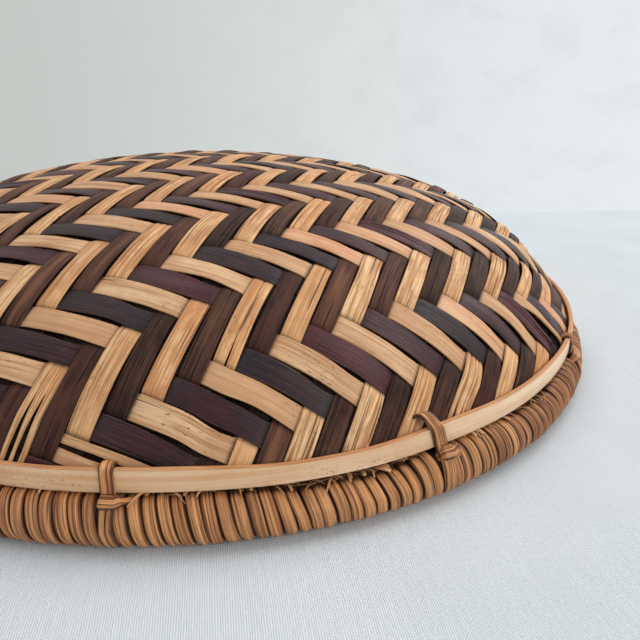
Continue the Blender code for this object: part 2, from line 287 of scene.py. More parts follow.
class Graph:
    """The nodes of one material or of the world."""

    def __init__(self, owner: bpy.types.Material | bpy.types.World, end: str) -> None:
        """Wraps the nodes of a material or world.

        Args:
            owner: The material or world.
            end: Name of the shader node that its nodes end in.
        """
        self.owner = owner
        self.tree = owner.node_tree
        self.end = self.tree.nodes[end]

    @classmethod
    def material(cls, name: str, fixed: dict[str, float | Colour]) -> "Graph":
        """A new material.

        Args:
            name: Its name.
            fixed: Values that are the same all over, by socket of the shader.

        Returns:
            Its graph.
        """
        made = bpy.data.materials.new(name)
        made.use_nodes = True
        graph = cls(made, "Principled BSDF")
        graph.feed(graph.end, fixed)
        return graph

    def feed(self, node: bpy.types.Node, sockets: dict) -> None:
        """Sets or links sockets of a node.

        Args:
            node: The node.
            sockets: A number, vector, colour or link for each socket, by name or number.
        """
        for name, value in sockets.items():
            socket = node.inputs[name]
            if isinstance(value, Link):
                self.tree.links.new(value.socket, socket)
            elif socket.type == "RGBA":
                socket.default_value = (*value, 1.0)
            else:
                socket.default_value = value

    def node(self, kind: str, settings: dict, sockets: dict, output: int | str = 0) -> Link:
        """Adds a node.

        Args:
            kind: Blender's name for the type of node.
            settings: Its properties, and the stops of a colour ramp under "stops".
            sockets: Values or links for its inputs.
            output: The output that is wanted.

        Returns:
            That output.
        """
        made = self.tree.nodes.new(kind)
        for name, value in settings.items():
            if name == "stops":
                for _ in value[2:]:
                    made.color_ramp.elements.new(0.5)
                for element, (position, colour) in zip(made.color_ramp.elements, value):
                    element.position = position
                    element.color = (*colour, 1.0)
            else:
                setattr(made, name, value)
        self.feed(made, sockets)
        return Link(self, made.outputs[output])

    def attribute(self, name: str, output: str = "Vector") -> Link:
        """A vector that the mesh carries, or with output "Fac" a number."""
        return self.node("ShaderNodeAttribute", {"attribute_name": name}, {}, output)

    def parts(self, vector: Link) -> tuple[Link, Link, Link]:
        """The three numbers of a vector."""
        first = self.node("ShaderNodeSeparateXYZ", {}, {0: vector})
        return first, first.beside("Y"), first.beside("Z")

    def scaled(self, vector: Link, by: Triple) -> Link:
        """A vector with each of its numbers multiplied."""
        return self.node("ShaderNodeVectorMath", {"operation": "MULTIPLY"}, {0: vector, 1: by})

    def noise(self, vector: Link, by: Triple, detail: float = 2.0, rough: float = 0.5) -> Link:
        """Noise that is stretched along the axes.

        On the grain vector the axes run along the fibres, across them, and from one piece to the next.

        Args:
            vector: Where to read it.
            by: Its frequency along each axis.
            detail: How many finer layers it has.
            rough: How strong they are.

        Returns:
            The noise, mostly between 0.3 and 0.7.
        """
        sockets = {"Vector": self.scaled(vector, by), "Scale": 1.0, "Detail": detail, "Roughness": rough}
        return self.node("ShaderNodeTexNoise", {}, sockets)

    def mix(self, share: Link | float, first: Link | Colour, second: Link | Colour) -> Link:
        """The first colour, going over to the second as share goes from 0 to 1."""
        settings = {"data_type": "RGBA", "clamp_factor": True}
        return self.node("ShaderNodeMix", settings, {0: share, 6: first, 7: second}, 2)

    def bump(self, height: Link, distance: float, strength: float = 1.0) -> Link:
        """A normal that follows a height."""
        sockets = {"Height": height, "Distance": distance, "Strength": strength}
        return self.node("ShaderNodeBump", {}, sockets)


@dataclass(frozen=True)
class StripFinish:
    """A split strip of palm or bamboo, with its fibres, pores and cracks.

    Body and pale are mixed in slow bands, streak runs along the fibres, crack fills the splits between them,
    blush is the second dye or stain, edge is the bare cut side, and a painted highlight, a painted sheen,
    lies along the middle of some floats. Painted shade is laid on where the strip lies under another strip
    or goes down behind the hoop.
    """

    name: str
    body: Colour
    pale: Colour
    streak: Colour
    crack: Colour
    blush: Colour
    edge: Colour
    roughness: float
    streaks: float
    cracks: float
    specks: float
    relief: float
    sheen: float
    # Painted highlight: how strong the painted sheen along the middle of some floats is, and its colour.
    wear_and_sheen: float
    painted_sheen: Colour
    # Painted shade: the colour laid on where the strip lies under another strip or goes down behind the hoop.
    painted_shade_colour: Colour = (0.0095, 0.0036, 0.0026)  # where it lies under another strip

    def build(self) -> bpy.types.Material:
        """Makes the material.

        Returns:
            The material.
        """
        graph = Graph.material(self.name, {"Specular IOR Level": self.sheen})
        grain = graph.attribute("grain")
        tone, blush, edge = graph.parts(graph.attribute("look"))
        recess = graph.attribute("recess", "Fac")
        fine = graph.noise(grain, (60, 3400, 3.1), 3, 0.6)
        coarse = graph.noise(grain, (26, 1150, 5.7), 2, 0.55)
        bands = graph.noise(grain, (18, 210, 9.3), 2)
        pores = graph.noise(grain, (420, 2300, 2.3), 1)
        places = graph.noise(grain, (34, 90, 21.1), 2).between(0.50, 0.62)
        split = graph.noise(grain, (16, 900, 13.7), 1).between(0.70 - self.cracks, 0.76 - self.cracks)
        colour = graph.mix((bands - 0.5) * 2.2 + tone, self.body, self.pale)
        streaked = tone * 0.8 + 0.50
        colour = graph.mix(coarse.between(0.44, 0.60) * streaked * self.streaks, colour, self.streak)
        colour = graph.mix((fine - 0.42) * streaked * self.streaks * 2.2, colour, self.streak)
        patches = graph.noise(grain, (85, 170, 31.7), 3, 0.6).between(0.40, 0.62)
        colour = graph.mix(blush * (0.40 + patches * 0.8), colour, self.blush)
        colour = graph.mix(patches * (0.30 + tone * 0.25) * self.streaks, colour, self.streak)
        # Painted highlight, a painted sheen, along the middle of the floats on the paler tones.
        painted_sheen = (1 - edge.between(0.10, 0.85)) * bands.between(0.42, 0.62) * tone.between(0.2, 0.9)
        colour = graph.mix(painted_sheen * self.wear_and_sheen, colour, self.painted_sheen)
        colour = graph.mix(edge.between(0.90, 1.0) * 0.7, colour, self.edge)
        colour = graph.mix(pores.between(0.64, 0.72) * places * self.specks, colour, self.crack)
        colour = graph.mix(split * 0.85, colour, self.crack)
        # Painted shade where the strip lies under another or goes down behind the hoop.
        colour = graph.mix(recess * 0.985, colour, self.painted_shade_colour)
        height = fine * 0.45 + coarse * 0.55 - split * 0.9
        graph.feed(graph.end, {
            "Base Color": colour,
            "Roughness": self.roughness + (coarse - 0.5) * 0.35 + recess * 0.4,
            "Normal": graph.bump(height, self.relief),
        })
        return graph.owner


@dataclass(frozen=True)
class CaneFinish:
    """Split cane, from brown to golden by its tone, with fine ridges along it.

    Painted shade darkens the sides of each turn, next to its neighbours, and the bottoms of its grooves.
    """

    name: str
    groove: Colour
    dark: Colour
    middle: Colour
    light: Colour
    roughness: float
    # Painted shade: the colour laid on where the cane is tucked in under the hoop and where it starts inside
    # the rim.
    painted_shade_colour: Colour = (0.020, 0.008, 0.004)  # where it is tucked in under the hoop

    def build(self) -> bpy.types.Material:
        """Makes the material.

        Returns:
            The material.
        """
        graph = Graph.material(self.name, {"Specular IOR Level": 0.38})
        grain = graph.attribute("grain")
        tone, wear_and_sheen, edge = graph.parts(graph.attribute("look"))
        recess = graph.attribute("recess", "Fac")
        fine = graph.noise(grain, (50, 3000, 3.1), 3, 0.6)
        coarse = graph.noise(grain, (24, 1100, 5.7), 2, 0.5)
        stains = graph.noise(grain, (55, 160, 9.3), 3, 0.6)
        ridge = graph.noise(grain, (9, 700, 7.9), 1).between(0.30, 0.70)
        lines = graph.noise(grain, (14, 1500, 17.3), 1).between(0.56, 0.68)
        colour = graph.mix(stains.between(0.28, 0.56) * 0.8 + 0.2, self.dark, self.middle)
        colour = graph.mix(ridge * 1.05 + tone * 0.85 - 0.50, colour, self.light)
        colour = graph.mix(fine.between(0.44, 0.66) * 0.45, colour, self.dark)
        colour = graph.mix(lines * 0.80, colour, self.dark)
        # Painted shade on the sides of each turn, between it and the next, and in the grooves.
        colour = graph.mix(edge.between(0.64, 0.92) * 0.95, colour, self.groove)
        colour = graph.mix(wear_and_sheen * coarse.between(0.5, 0.62), colour, self.light)
        # Painted shade under the hoop and where the turn starts inside the rim.
        colour = graph.mix(recess * 0.9, colour, self.painted_shade_colour)
        height = fine * 0.25 + coarse * 0.30 + ridge * 0.45 - lines * 0.5
        graph.feed(graph.end, {
            "Base Color": colour,
            "Roughness": self.roughness + (coarse - 0.5) * 0.3 + lines * 0.15,
            "Normal": graph.bump(height, 0.0009),
        })
        return graph.owner


@dataclass(frozen=True)
class BambooFinish:
    """Outer skin of a bamboo strip, smooth and pale, with open brown fibres on its cut sides."""

    name: str
    skin: Colour
    shade: Colour
    cut: Colour
    fleck: Colour
    # Painted shade: the colour laid on the side that lies against the mat.
    painted_shade_colour: Colour = (0.030, 0.012, 0.006)  # on the side that lies against the mat

    def build(self) -> bpy.types.Material:
        """Makes the material.

        Returns:
            The material.
        """
        graph = Graph.material(self.name, {"Specular IOR Level": 0.5})
        grain = graph.attribute("grain")
        tone, low, cut = graph.parts(graph.attribute("look"))
        fine = graph.noise(grain, (14, 2600, 3.1), 3, 0.6)
        bands = graph.noise(grain, (7, 300, 5.7), 2)
        clouds = graph.noise(grain, (32, 60, 9.3), 3, 0.6)
        flecks = graph.noise(grain, (700, 1900, 4.9), 1).between(0.66, 0.73)
        places = graph.noise(grain, (28, 10, 8.3), 1).between(0.46, 0.62)
        smudges = graph.noise(grain, (95, 420, 6.1), 3, 0.65).between(0.56, 0.70)
        recess = graph.attribute("recess", "Fac")
        colour = graph.mix((bands - 0.5) * 1.6 + (clouds - 0.5) * 1.1 + tone, self.skin, self.shade)
        colour = graph.mix(fine.between(0.5, 0.7) * 0.28, colour, self.shade)
        colour = graph.mix(smudges * places * low.between(0.45, 1.0) * 0.75, colour, self.cut)
        colour = graph.mix(flecks * places * (0.25 + low), colour, self.fleck)
        sides = graph.mix(fine.between(0.35, 0.65), self.cut, self.shade)
        colour = graph.mix(cut.between(0.25, 0.8), colour, sides)
        # Painted shade on the side that lies against the mat.
        colour = graph.mix(recess, colour, self.painted_shade_colour)
        graph.feed(graph.end, {
            "Base Color": colour,
            "Roughness": 0.40 + cut * 0.22 + (clouds - 0.5) * 0.2,
            "Normal": graph.bump(fine * (0.25 + cut) + bands * 0.5, 0.0003),
        })
        return graph.owner


@dataclass(frozen=True)
class RodFinish:
    """The rough split rods that the cane is wound on."""

    name: str
    body: Colour
    streak: Colour
    # Painted shade: the colour laid on the rod's top, deep under the hoop.
    painted_shade_colour: Colour = (0.010, 0.005, 0.004)  # on its top, deep under the hoop

    def build(self) -> bpy.types.Material:
        """Makes the material.

        Returns:
            The material.
        """
        graph = Graph.material(self.name, {"Specular IOR Level": 0.3})
        grain = graph.attribute("grain")
        fibres = graph.noise(grain, (30, 1500, 3.1), 3)
        stains = graph.noise(grain, (35, 90, 5.7), 2)
        recess = graph.attribute("recess", "Fac")
        colour = graph.mix(fibres.between(0.38, 0.62) * 0.7 + (stains - 0.5), self.body, self.streak)
        # Painted shade on the rod's top.
        colour = graph.mix(recess, colour, self.painted_shade_colour)
        graph.feed(graph.end, {
            "Base Color": colour,
            "Roughness": 0.62 + (fibres - 0.5) * 0.3,
            "Normal": graph.bump(fibres, 0.0006),
        })
        return graph.owner


@dataclass(frozen=True)
class ClothFinish:
    """The pale plain-woven cloth on the table."""

    name: str
    body: Colour
    shade: Colour
    thread: float = 0.00086  # from one thread to the next

    def build(self) -> bpy.types.Material:
        """Makes the material.

        Returns:
            The material.
        """
        graph = Graph.material(self.name, {"Roughness": 0.85, "Specular IOR Level": 0.2})
        place = graph.node("ShaderNodeTexCoord", {}, {}, "Object")
        across, along, _ = graph.parts(place)
        turn = 2 * math.pi / self.thread
        uneven = graph.noise(place, (420, 60, 1), 2)
        warp = (across * turn + uneven * 5).sine()
        weft = (along * turn + uneven * 4).sine()
        clouds = graph.noise(place, (9, 9, 1), 4, 0.65)
        shaded = clouds.between(0.30, 0.68) * 0.6 + warp * 0.10 + weft * 0.06
        colour = graph.mix(shaded, self.body, self.shade)
        height = warp * 0.5 + weft * 0.4 + uneven
        graph.feed(graph.end, {"Base Color": colour, "Normal": graph.bump(height, 0.0002, 0.8)})
        return graph.owner


@dataclass(frozen=True)
class Stretch:
    """A stretch of the rim, by angles, where something lies lower or looks different."""

    middle: float
    half: float
    amount: float

    FULL_SHARE = 0.2  # the share of the stretch over which the amount is whole

    def at(self, angle: Array) -> Array:
        """The amount at angles round the basket."""
        apart = np.angle(np.exp(1j * (angle - self.middle)))
        return self.amount * (1 - ease(np.abs(apart), self.FULL_SHARE * self.half, self.half))


@dataclass(frozen=True)
class Course:
    """How something changes round the rim."""

    stretches: tuple[Stretch, ...] = ()

    @classmethod
    def of(cls, unit_size: float, *rows: Triple) -> "Course":
        """Makes a course.

        Args:
            unit_size: The unit of the amounts.
            rows: The middle, half and amount of each stretch, angles in degrees.

        Returns:
            The course.
        """
        return cls(tuple(
            Stretch(math.radians(middle), math.radians(half), amount * unit_size)
            for middle, half, amount in rows
        ))

    def at(self, angle: Array) -> Array:
        """The sum of the stretches at angles round the basket."""
        return sum((stretch.at(angle) for stretch in self.stretches), np.zeros_like(angle))


class StripWay(Enum):
    """The two ways in which strips run through the weave."""

    STEEP = "steep"
    SHALLOW = "shallow"


@dataclass(frozen=True)
class DomeShape:
    """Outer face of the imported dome: an even bowl with a rounded shoulder, over a short upright skirt.

    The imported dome's ridges stand for the floats, so they stay out of this shape and the strips make them.
    """

    radius: float
    seat: float
    top: float
    skirt: float = 0.0071
    bowl_share: float = 0.55
    shoulder_power: float = 7.0
    drawn_in: Stretch = Stretch(math.radians(-33), math.radians(26), 0.0026)  # away from the hoop
    drawn_in_zone: Triple = (0.040, 0.012, 0.003)  # from the edge: start, full and end
    fold_half: float = 0.0015  # half the width of the bend between dome and skirt

    RIDGE_RISE = 0.0014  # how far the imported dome's ridges stand up at its top

    @classmethod
    def packed(cls) -> "DomeShape":
        """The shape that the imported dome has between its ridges."""
        low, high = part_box("woven_dome")
        return cls(radius=(high.x - low.x) / 2, seat=low.z, top=high.z - cls.RIDGE_RISE)

    @property
    def rise(self) -> float:
        """From the top of the skirt to the top of the dome."""
        return self.top - self.seat - self.skirt

    def edge_slope(self) -> float:
        """Slope of the shoulder where it meets the skirt."""
        return -self.rise / self.radius * (2 * self.bowl_share + self.shoulder_power * (1 - self.bowl_share))

    def height(self, radial: Array) -> Array:
        """Height of the face, which goes on outside the edge at the slope that it has there.

        Args:
            radial: Distances from the axis.

        Returns:
            The height at each of them.
        """
        share = radial / self.radius
        fall = self.bowl_share * share**2 + (1 - self.bowl_share) * share**self.shoulder_power
        inside = self.seat + self.skirt + self.rise * (1 - fall)
        outside = self.seat + self.skirt + self.edge_slope() * (radial - self.radius)
        return np.where(share < 1, inside, outside)

    def slope(self, radial: Array) -> Array:
        """Slope of the face outwards.

        Args:
            radial: Distances from the axis.

        Returns:
            The slope at each of them.
        """
        share = np.minimum(radial / self.radius, 1.0)
        bowl = 2 * self.bowl_share * share
        shoulder = self.shoulder_power * (1 - self.bowl_share) * share ** (self.shoulder_power - 1)
        return -self.rise / self.radius * (bowl + shoulder)

    def gradient(self, plan: Array) -> tuple[Array, Array]:
        """Slopes of the face along X and along Y.

        Args:
            plan: Points as seen from above.

        Returns:
            The two slopes at each point.
        """
        radial = np.hypot(plan[..., 0], plan[..., 1]) + TINY
        slope = self.slope(radial)
        return slope * plan[..., 0] / radial, slope * plan[..., 1] / radial

    def raised(self, plan: Array) -> Array:
        """Points on the face, from where they are seen from above."""
        radial = np.hypot(plan[..., 0], plan[..., 1])
        return np.concatenate([plan, self.height(radial)[..., None]], axis=-1)

    def place(self, plan: Array, lift: Array) -> Array:
        """Points near the face. What lies outside its edge is folded down on to the skirt.

        Args:
            plan: The points as seen from above.
            lift: How far outside the face each one is.

        Returns:
            The points in space.
        """
        radial = np.hypot(plan[..., 0], plan[..., 1]) + TINY
        out = plan / radial[..., None]
        steep = math.hypot(1.0, self.edge_slope())
        beyond = np.maximum(radial - self.radius, 0.0) * steep
        down = self.skirt * np.tanh(beyond / self.skirt)
        slope = self.slope(radial)
        fold = ease(radial, self.radius - self.fold_half, self.radius + self.fold_half)
        tilt = np.arctan(slope) * (1 - fold) - math.pi / 2 * fold
        height = self.height(np.minimum(radial, self.radius)) - down + np.cos(tilt) * lift
        start, full, end = (self.radius - inwards for inwards in self.drawn_in_zone)
        drawn = self.drawn_in.at(np.arctan2(plan[..., 1], plan[..., 0]))
        drawn = drawn * ease(radial, start, full) * (1 - ease(radial, full, end))
        distance = np.minimum(radial, self.radius) - np.sin(tilt) * lift - drawn
        return np.concatenate([out * distance[..., None], height[..., None]], axis=-1)


@dataclass(frozen=True)
class Guide:
    """One of the two lines that start the weave: its heading seen from above, bend and cell width."""

    heading: float
    bend: float
    cell: float
    before: int
    after: int


@dataclass
class WeaveNet:
    """Lines between neighbouring strips, as a net of equal cells laid over the dome.

    Steep strips lie between the lines of the first family, shallow ones between those of the second. Cell
    numbers count from a corner of the weave near the front of the basket. The two guides cross at the origin,
    seen from above, which is the corner numbered origin_cell.
    """

    dome: DomeShape
    origin: tuple[float, float] = (0.03098, -0.16688)
    origin_cell: tuple[int, int] = (5, 2)
    rightwards: Guide = Guide(math.radians(-26.15), -0.441, 0.01045, 38, 30)
    upwards: Guide = Guide(math.radians(63.45), -0.288, 0.011875, 16, 44)
    net: Array = field(init=False)

    GUIDE_PARTS = 3  # steps to each cell of a guide
    ROUNDS = 4  # in which a corner finds its place
    LEAST_AREA = 0.15  # keeps a corner between two nearly parallel lines from running off
    LONGEST_MOVE = 0.4  # of a corner in one round, in cells

    def __post_init__(self) -> None:
        """Lays the net out from its two guides, one quarter after the other."""
        right = self._guide(self.rightwards, self.rightwards.after, 1)
        left = self._guide(self.rightwards, self.rightwards.before, -1)
        above = self._guide(self.upwards, self.upwards.after, 1)
        below = self._guide(self.upwards, self.upwards.before, -1)
        first, second = self.rightwards.before, self.upwards.before
        shape = (first + self.rightwards.after + 1, second + self.upwards.after + 1, 2)
        self.net = np.zeros(shape)
        self.net[first:, second:] = self._quarter(right, above)
        self.net[first::-1, second:] = self._quarter(left, above)
        self.net[first:, second::-1] = self._quarter(right, below)
        self.net[first::-1, second::-1] = self._quarter(left, below)

    def _guide(self, guide: Guide, count: int, sign: int) -> Array:
        """Walks over the dome from the origin.

        Args:
            guide: The line to walk.
            count: Number of cells.
            sign: 1 to walk forwards and -1 backwards.

        Returns:
            The corners of the cells, seen from above.
        """
        place = np.array(self.origin)
        slope_x, slope_y = self.dome.gradient(place)
        ahead = np.array([math.cos(guide.heading), math.sin(guide.heading)])
        way = unit(np.array([*ahead, ahead[0] * slope_x + ahead[1] * slope_y]))
        corners = [place]
        step = sign * guide.cell / self.GUIDE_PARTS
        for _ in range(count):
            for _ in range(self.GUIDE_PARTS):
                slope_x, slope_y = self.dome.gradient(place)
                normal = unit(np.array([-slope_x, -slope_y, 1.0]))
                way = unit(way - normal * (way @ normal))
                way = unit(way + np.cross(normal, way) * guide.bend * step)
                place = place + way[:2] * step
            corners.append(place)
        return np.array(corners)

    def _quarter(self, first: Array, second: Array) -> Array:
        """Fills one quarter of the net between two guides, diagonal by diagonal.

        Args:
            first: Corners along the first guide, from the origin.
            second: Corners along the second guide, from the origin.

        Returns:
            The quarter's corners, as (first, second, 2).
        """
        rows, columns = len(first), len(second)
        net = np.zeros((rows, columns, 2))
        net[:, 0] = first
        net[0, :] = second
        for diagonal in range(2, rows + columns - 1):
            i = np.arange(max(1, diagonal - columns + 1), min(rows - 1, diagonal - 1) + 1)
            j = diagonal - i
            below, before, behind = net[i, j - 1], net[i - 1, j], net[i - 1, j - 1]
            net[i, j] = self._corner(below, before, below + before - behind)
        return net

    def _corner(self, below: Array, before: Array, guess: Array) -> Array:
        """Corners that are one cell from two known ones each, measured over the dome.

        Args:
            below: The known corners that they lie one cell above.
            before: The known corners that they lie one cell to the right of.
            guess: About where they are.

        Returns:
            Where they are, seen from above.
        """
        from_below, from_before = self.dome.raised(below), self.dome.raised(before)
        plan = guess.copy()
        for _ in range(self.ROUNDS):
            slope_x, slope_y = self.dome.gradient(plan)
            here = self.dome.raised(plan)
            rows = []
            for known, wanted in ((from_below, self.upwards.cell), (from_before, self.rightwards.cell)):
                apart = here - known
                length = np.linalg.norm(apart, axis=1)
                rows.append((
                    (apart[:, 0] + apart[:, 2] * slope_x) / length,
                    (apart[:, 1] + apart[:, 2] * slope_y) / length,
                    length - wanted,
                ))
            (a, b, e), (c, d, f) = rows
            area = a * d - b * c
            area = np.where(np.abs(area) < self.LEAST_AREA, self.LEAST_AREA * np.sign(area + TINY), area)
            step = np.stack([e * d - f * b, a * f - c * e], axis=1) / area[:, None]
            length = np.linalg.norm(step, axis=1, keepdims=True)
            most = self.LONGEST_MOVE * self.upwards.cell
            plan = plan - step * np.minimum(1.0, most / (length + TINY))
        return plan

    def numbers(self, way: StripWay) -> range:
        """Numbers of the strips that run one way.

        Args:
            way: The way.

        Returns:
            The numbers, in their order across the basket.
        """
        axis, guide = (0, self.rightwards) if way is StripWay.STEEP else (1, self.upwards)
        first = self.origin_cell[axis] - guide.before
        return range(first, first + self.net.shape[axis] - 1)

    def lane(self, way: StripWay, number: int) -> tuple[Array, Array, float]:
        """The lane of one strip.

        Args:
            way: Which way it runs.
            number: Its number.

        Returns:
            The middle of the lane and the step across it at each crossing line, and the first line's number.
        """
        index = number - self.numbers(way).start
        if way is StripWay.STEEP:
            one, other = self.net[index], self.net[index + 1]
            return (one + other) / 2, other - one, self.origin_cell[1] - self.upwards.before
        one, other = self.net[:, index], self.net[:, index + 1]
        return (one + other) / 2, other - one, self.origin_cell[0] - self.rightwards.before


@dataclass(frozen=True)
class Split:
    """A place where a strip has come apart into splinters, in cell numbers along it."""

    start: float
    end: float
    lines: tuple[float, ...]
    gap: float = 0.22
    lift: float = 0.0012
    torn: float = 0.0  # how much of its near side has come off where it is most open


@dataclass(frozen=True)
class Lane:
    """Where one strip runs, ring by ring.

    plan is the middle of its lane seen from above and step the way across the lane. width and shift are the
    share of the lane that the strip fills and how far it lies beside the middle. along is the distance.
    """

    plan: Array
    step: Array
    width: Array
    shift: Array
    along: Array
    number: int


@dataclass(frozen=True)
class Curl:
    """How one strip bends out of the dome's face, ring by ring.

    lift is the height of its middle, twist how much higher its far edge is, bow how far its middle stands up
    from its edges, and under is the painted shade, 1 where it lies beneath others or behind the hoop.
    """

    lift: Array
    twist: Array
    bow: Array
    under: Array


FLOAT_CELLS = 4  # a strip passes over this many others at a time
REPEAT_CELLS = 8


@dataclass
class WovenMat:
    """The mat: each strip passes over four others and under four.

    A pair of numbers is the range of a random value: width_share for the share of its lane that a strip
    fills, arch_factor for how far a float stands out, float_tone and strip_tone for the tone of a float and
    of a whole strip, and blush_middle for the blush of a strip's floats.
    """

    dome: DomeShape
    net: WeaveNet
    thickness: float = 0.0009
    sink: float = 0.0010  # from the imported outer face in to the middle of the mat
    swing: float = 0.00055  # from the middle of the mat to the middle of a strip
    arch_below: float = 0.0004
    looseness: float = 0.80  # how much more the floats stand out at the mat's right-hand side
    loose_zone: tuple[float, float] = (0.06, 0.21)  # where that side begins and is reached
    change: float = 0.30  # half the length of a crossing from over to under, in cells
    edge_zone: float = 0.012  # next to the hoops, where the floats lie flat
    hoop_zone: tuple[float, float] = (0.001, 0.004)  # in and out from the dome's edge, behind the hoop
    width_wander: float = 0.02  # how much a strip's width changes along it, in lanes
    shift_wander: float = 0.035  # how far it strays from the middle of its lane, in lanes
    width_share: tuple[float, float] = (0.89, 0.985)
    arch_factor: tuple[float, float] = (0.65, 1.35)
    float_tone: tuple[float, float] = (-0.16, 0.16)
    strip_tone: tuple[float, float] = (-0.05, 0.95)
    blush_middle: tuple[float, float] = (-0.55, 0.62)
    blush_spread: float = 0.25
    # Painted light and shade along each float: its middle is painted paler and its ends, where it goes under,
    # darker.
    painted_float_shading: float = 0.40  # how much the middle of a float is paler than its ends
    twist: float = 0.0006  # the most that a float's far edge stands up or down
    # Painted shade on the mat where it goes down behind the hoop.
    tucked_shade: float = 0.85  # how dark the mat is where it goes down behind the hoop
    seed: int = 11
    # How far a float stands out of the mat, how far its middle stands up from its edges, and how deep its
    # nicks are.
    arch: dict[StripWay, float] = field(default_factory=lambda: {
        StripWay.STEEP: 0.0013, StripWay.SHALLOW: 0.0009,
    })
    bow: dict[StripWay, tuple[float, float]] = field(default_factory=lambda: {
        StripWay.STEEP: (0.00015, 0.00055), StripWay.SHALLOW: (0.0, 0.00040),
    })
    nick: dict[StripWay, float] = field(default_factory=lambda: {
        StripWay.STEEP: 0.10, StripWay.SHALLOW: 0.26,
    })
    splits: dict[tuple[StripWay, int], Split] = field(default_factory=lambda: {
        (StripWay.STEEP, -2): Split(-10.0, -6.0, (-0.4, 0.3)),
        (StripWay.STEEP, 14): Split(-2.5, 0.8, (-0.45, 0.15, 0.5), 0.16),
        (StripWay.SHALLOW, -8): Split(-2.0, 4.6, (0.15,), 0.20),
        (StripWay.STEEP, 4): Split(-5.5, -2.0, (0.1,), 0.12, 0.0005),
        (StripWay.SHALLOW, 8): Split(16.4, 22.5, (), torn=1.35),
        (StripWay.SHALLOW, 7): Split(17.4, 21.5, (0.0, 0.45), 0.13, 0.0008),
    })

    SEED_OFFSET = 100  # keeps a strip's seed above 0
    GRAIN_STEP = 3.17  # how far one strip's grain is from the next one's
    SCAN_STEP = 0.02  # in cells, to find where a lane comes on to the dome and leaves it
    SHORTEST = 1.5  # strip, in cells
    END_GAP = 0.06  # in cells, the least from a strip's end to its next ring
    SKIRT_SHARE = 0.8  # how far down the skirt the strips go
    CELL_STEPS = (0.0, 0.12, 0.30, 0.50, 0.70, 0.88)  # where a cell has its rings
    NEAR_NICK = (0.60, 0.56, 0.27)  # depth, and middle and length along a float
    FAR_NICK = (1.00, 0.86, 0.21)
    FACE = ((-1.0, 0.08), (-0.95, 0.42), (-0.55, 0.54), (0.0, 0.58), (0.55, 0.54), (0.95, 0.42), (1.0, 0.08))
    BACK = ((0.97, -0.46), (0.0, -0.42), (-0.97, -0.46))

    def build(self, finishes: dict[tuple[StripWay, bool], bpy.types.Material]) -> int:
        """Weaves the mat.

        Args:
            finishes: Material of the strips by their way and whether they are undyed.

        Returns:
            The number of strips.
        """
        count = 0
        for way in StripWay:
            for number in self.net.numbers(way):
                rng = np.random.default_rng((self.seed, list(StripWay).index(way), number + self.SEED_OFFSET))
                solid = self._strip(way, number, rng)
                if solid is None:
                    continue
                count += 1
                undyed = number % 2 == 0
                piece = solid.make(f"{way.value}_strip_{count:02d}", finishes[way, undyed])
                fit(piece, "woven_strips", "woven_dome")
        return count

    def _stations(self, middle: Array, first: float) -> Array | None:
        """Places the rings of a strip.

        Args:
            middle: The middle of its lane at each crossing line.
            first: Number of the first crossing line.

        Returns:
            Where the rings are, in cells from that line, or None where the strip would be too short.
        """
        dense = np.arange(0, len(middle) - 1, self.SCAN_STEP)
        plan = through(middle, dense)
        reach = self.dome.radius + self.SKIRT_SHARE * self.dome.skirt
        inside = dense[np.hypot(plan[:, 0], plan[:, 1]) < reach]
        if len(inside) == 0 or inside[-1] - inside[0] < self.SHORTEST:
            return None
        start, end = inside[0], inside[-1]
        cells = np.arange(math.floor(start + first), math.ceil(end + first) + 1) - first
        steps = (cells[:, None] + np.array(self.CELL_STEPS)).ravel()
        steps = steps[(steps > start + self.END_GAP) & (steps < end - self.END_GAP)]
        return np.array([start, *steps, end])

    def _strip(self, way: StripWay, number: int, rng: np.random.Generator) -> Solid | None:
        """Builds one strip.

        Args:
            way: Which way it runs.
            number: Its number.
            rng: Source of its random values.

        Returns:
            Its mesh, or None where its lane misses the dome.
        """
        middle, across, first = self.net.lane(way, number)
        at = self._stations(middle, first)
        if at is None:
            return None
        cells = at + first
        phase_start = number + 1 if way is StripWay.STEEP else number
        phase = cells - phase_start
        turn = np.mod(phase, REPEAT_CELLS)
        over = self._over(turn)
        floats = np.floor(phase / FLOAT_CELLS).astype(int)
        floats -= floats.min()
        count = floats.max() + 2
        arches = rng.uniform(*self.arch_factor, count)[floats]
        twists = rng.uniform(-self.twist, self.twist, count)[floats]
        tones = rng.uniform(*self.float_tone, count)[floats] + rng.uniform(*self.strip_tone)
        blush = rng.uniform(*self.blush_middle)
        blushes = np.clip(rng.normal(blush, self.blush_spread, count), 0, 1)[floats]
        bows = rng.uniform(*self.bow[way], count)[floats]
        nicks = rng.uniform(0.0, self.nick[way], (2, count))[:, floats]
        done = np.mod(turn, FLOAT_CELLS) / FLOAT_CELLS
        belly = np.sin(np.pi * done)
        plan = through(middle, at)
        step = through(across, at)
        radial = np.hypot(plan[:, 0], plan[:, 1])
        hoop_inside, hoop_outside = self.dome.radius - self.hoop_zone[0], self.dome.radius + self.hoop_zone[1]
        calm = 1 - ease(radial, self.dome.radius - self.edge_zone, hoop_inside)
        loose = 1 + self.looseness * ease(plan[:, 0], *self.loose_zone)
        rise = np.where(turn < FLOAT_CELLS, self.arch[way] * arches * loose, -self.arch_below) * belly
        lift = -self.sink + self.swing * over + calm * rise
        width = rng.uniform(*self.width_share) + self.width_wander * wander(rng, cells, 3.0)
        shift = self.shift_wander * wander(rng, cells, 2.2)
        along = distances(self.dome.raised(plan))
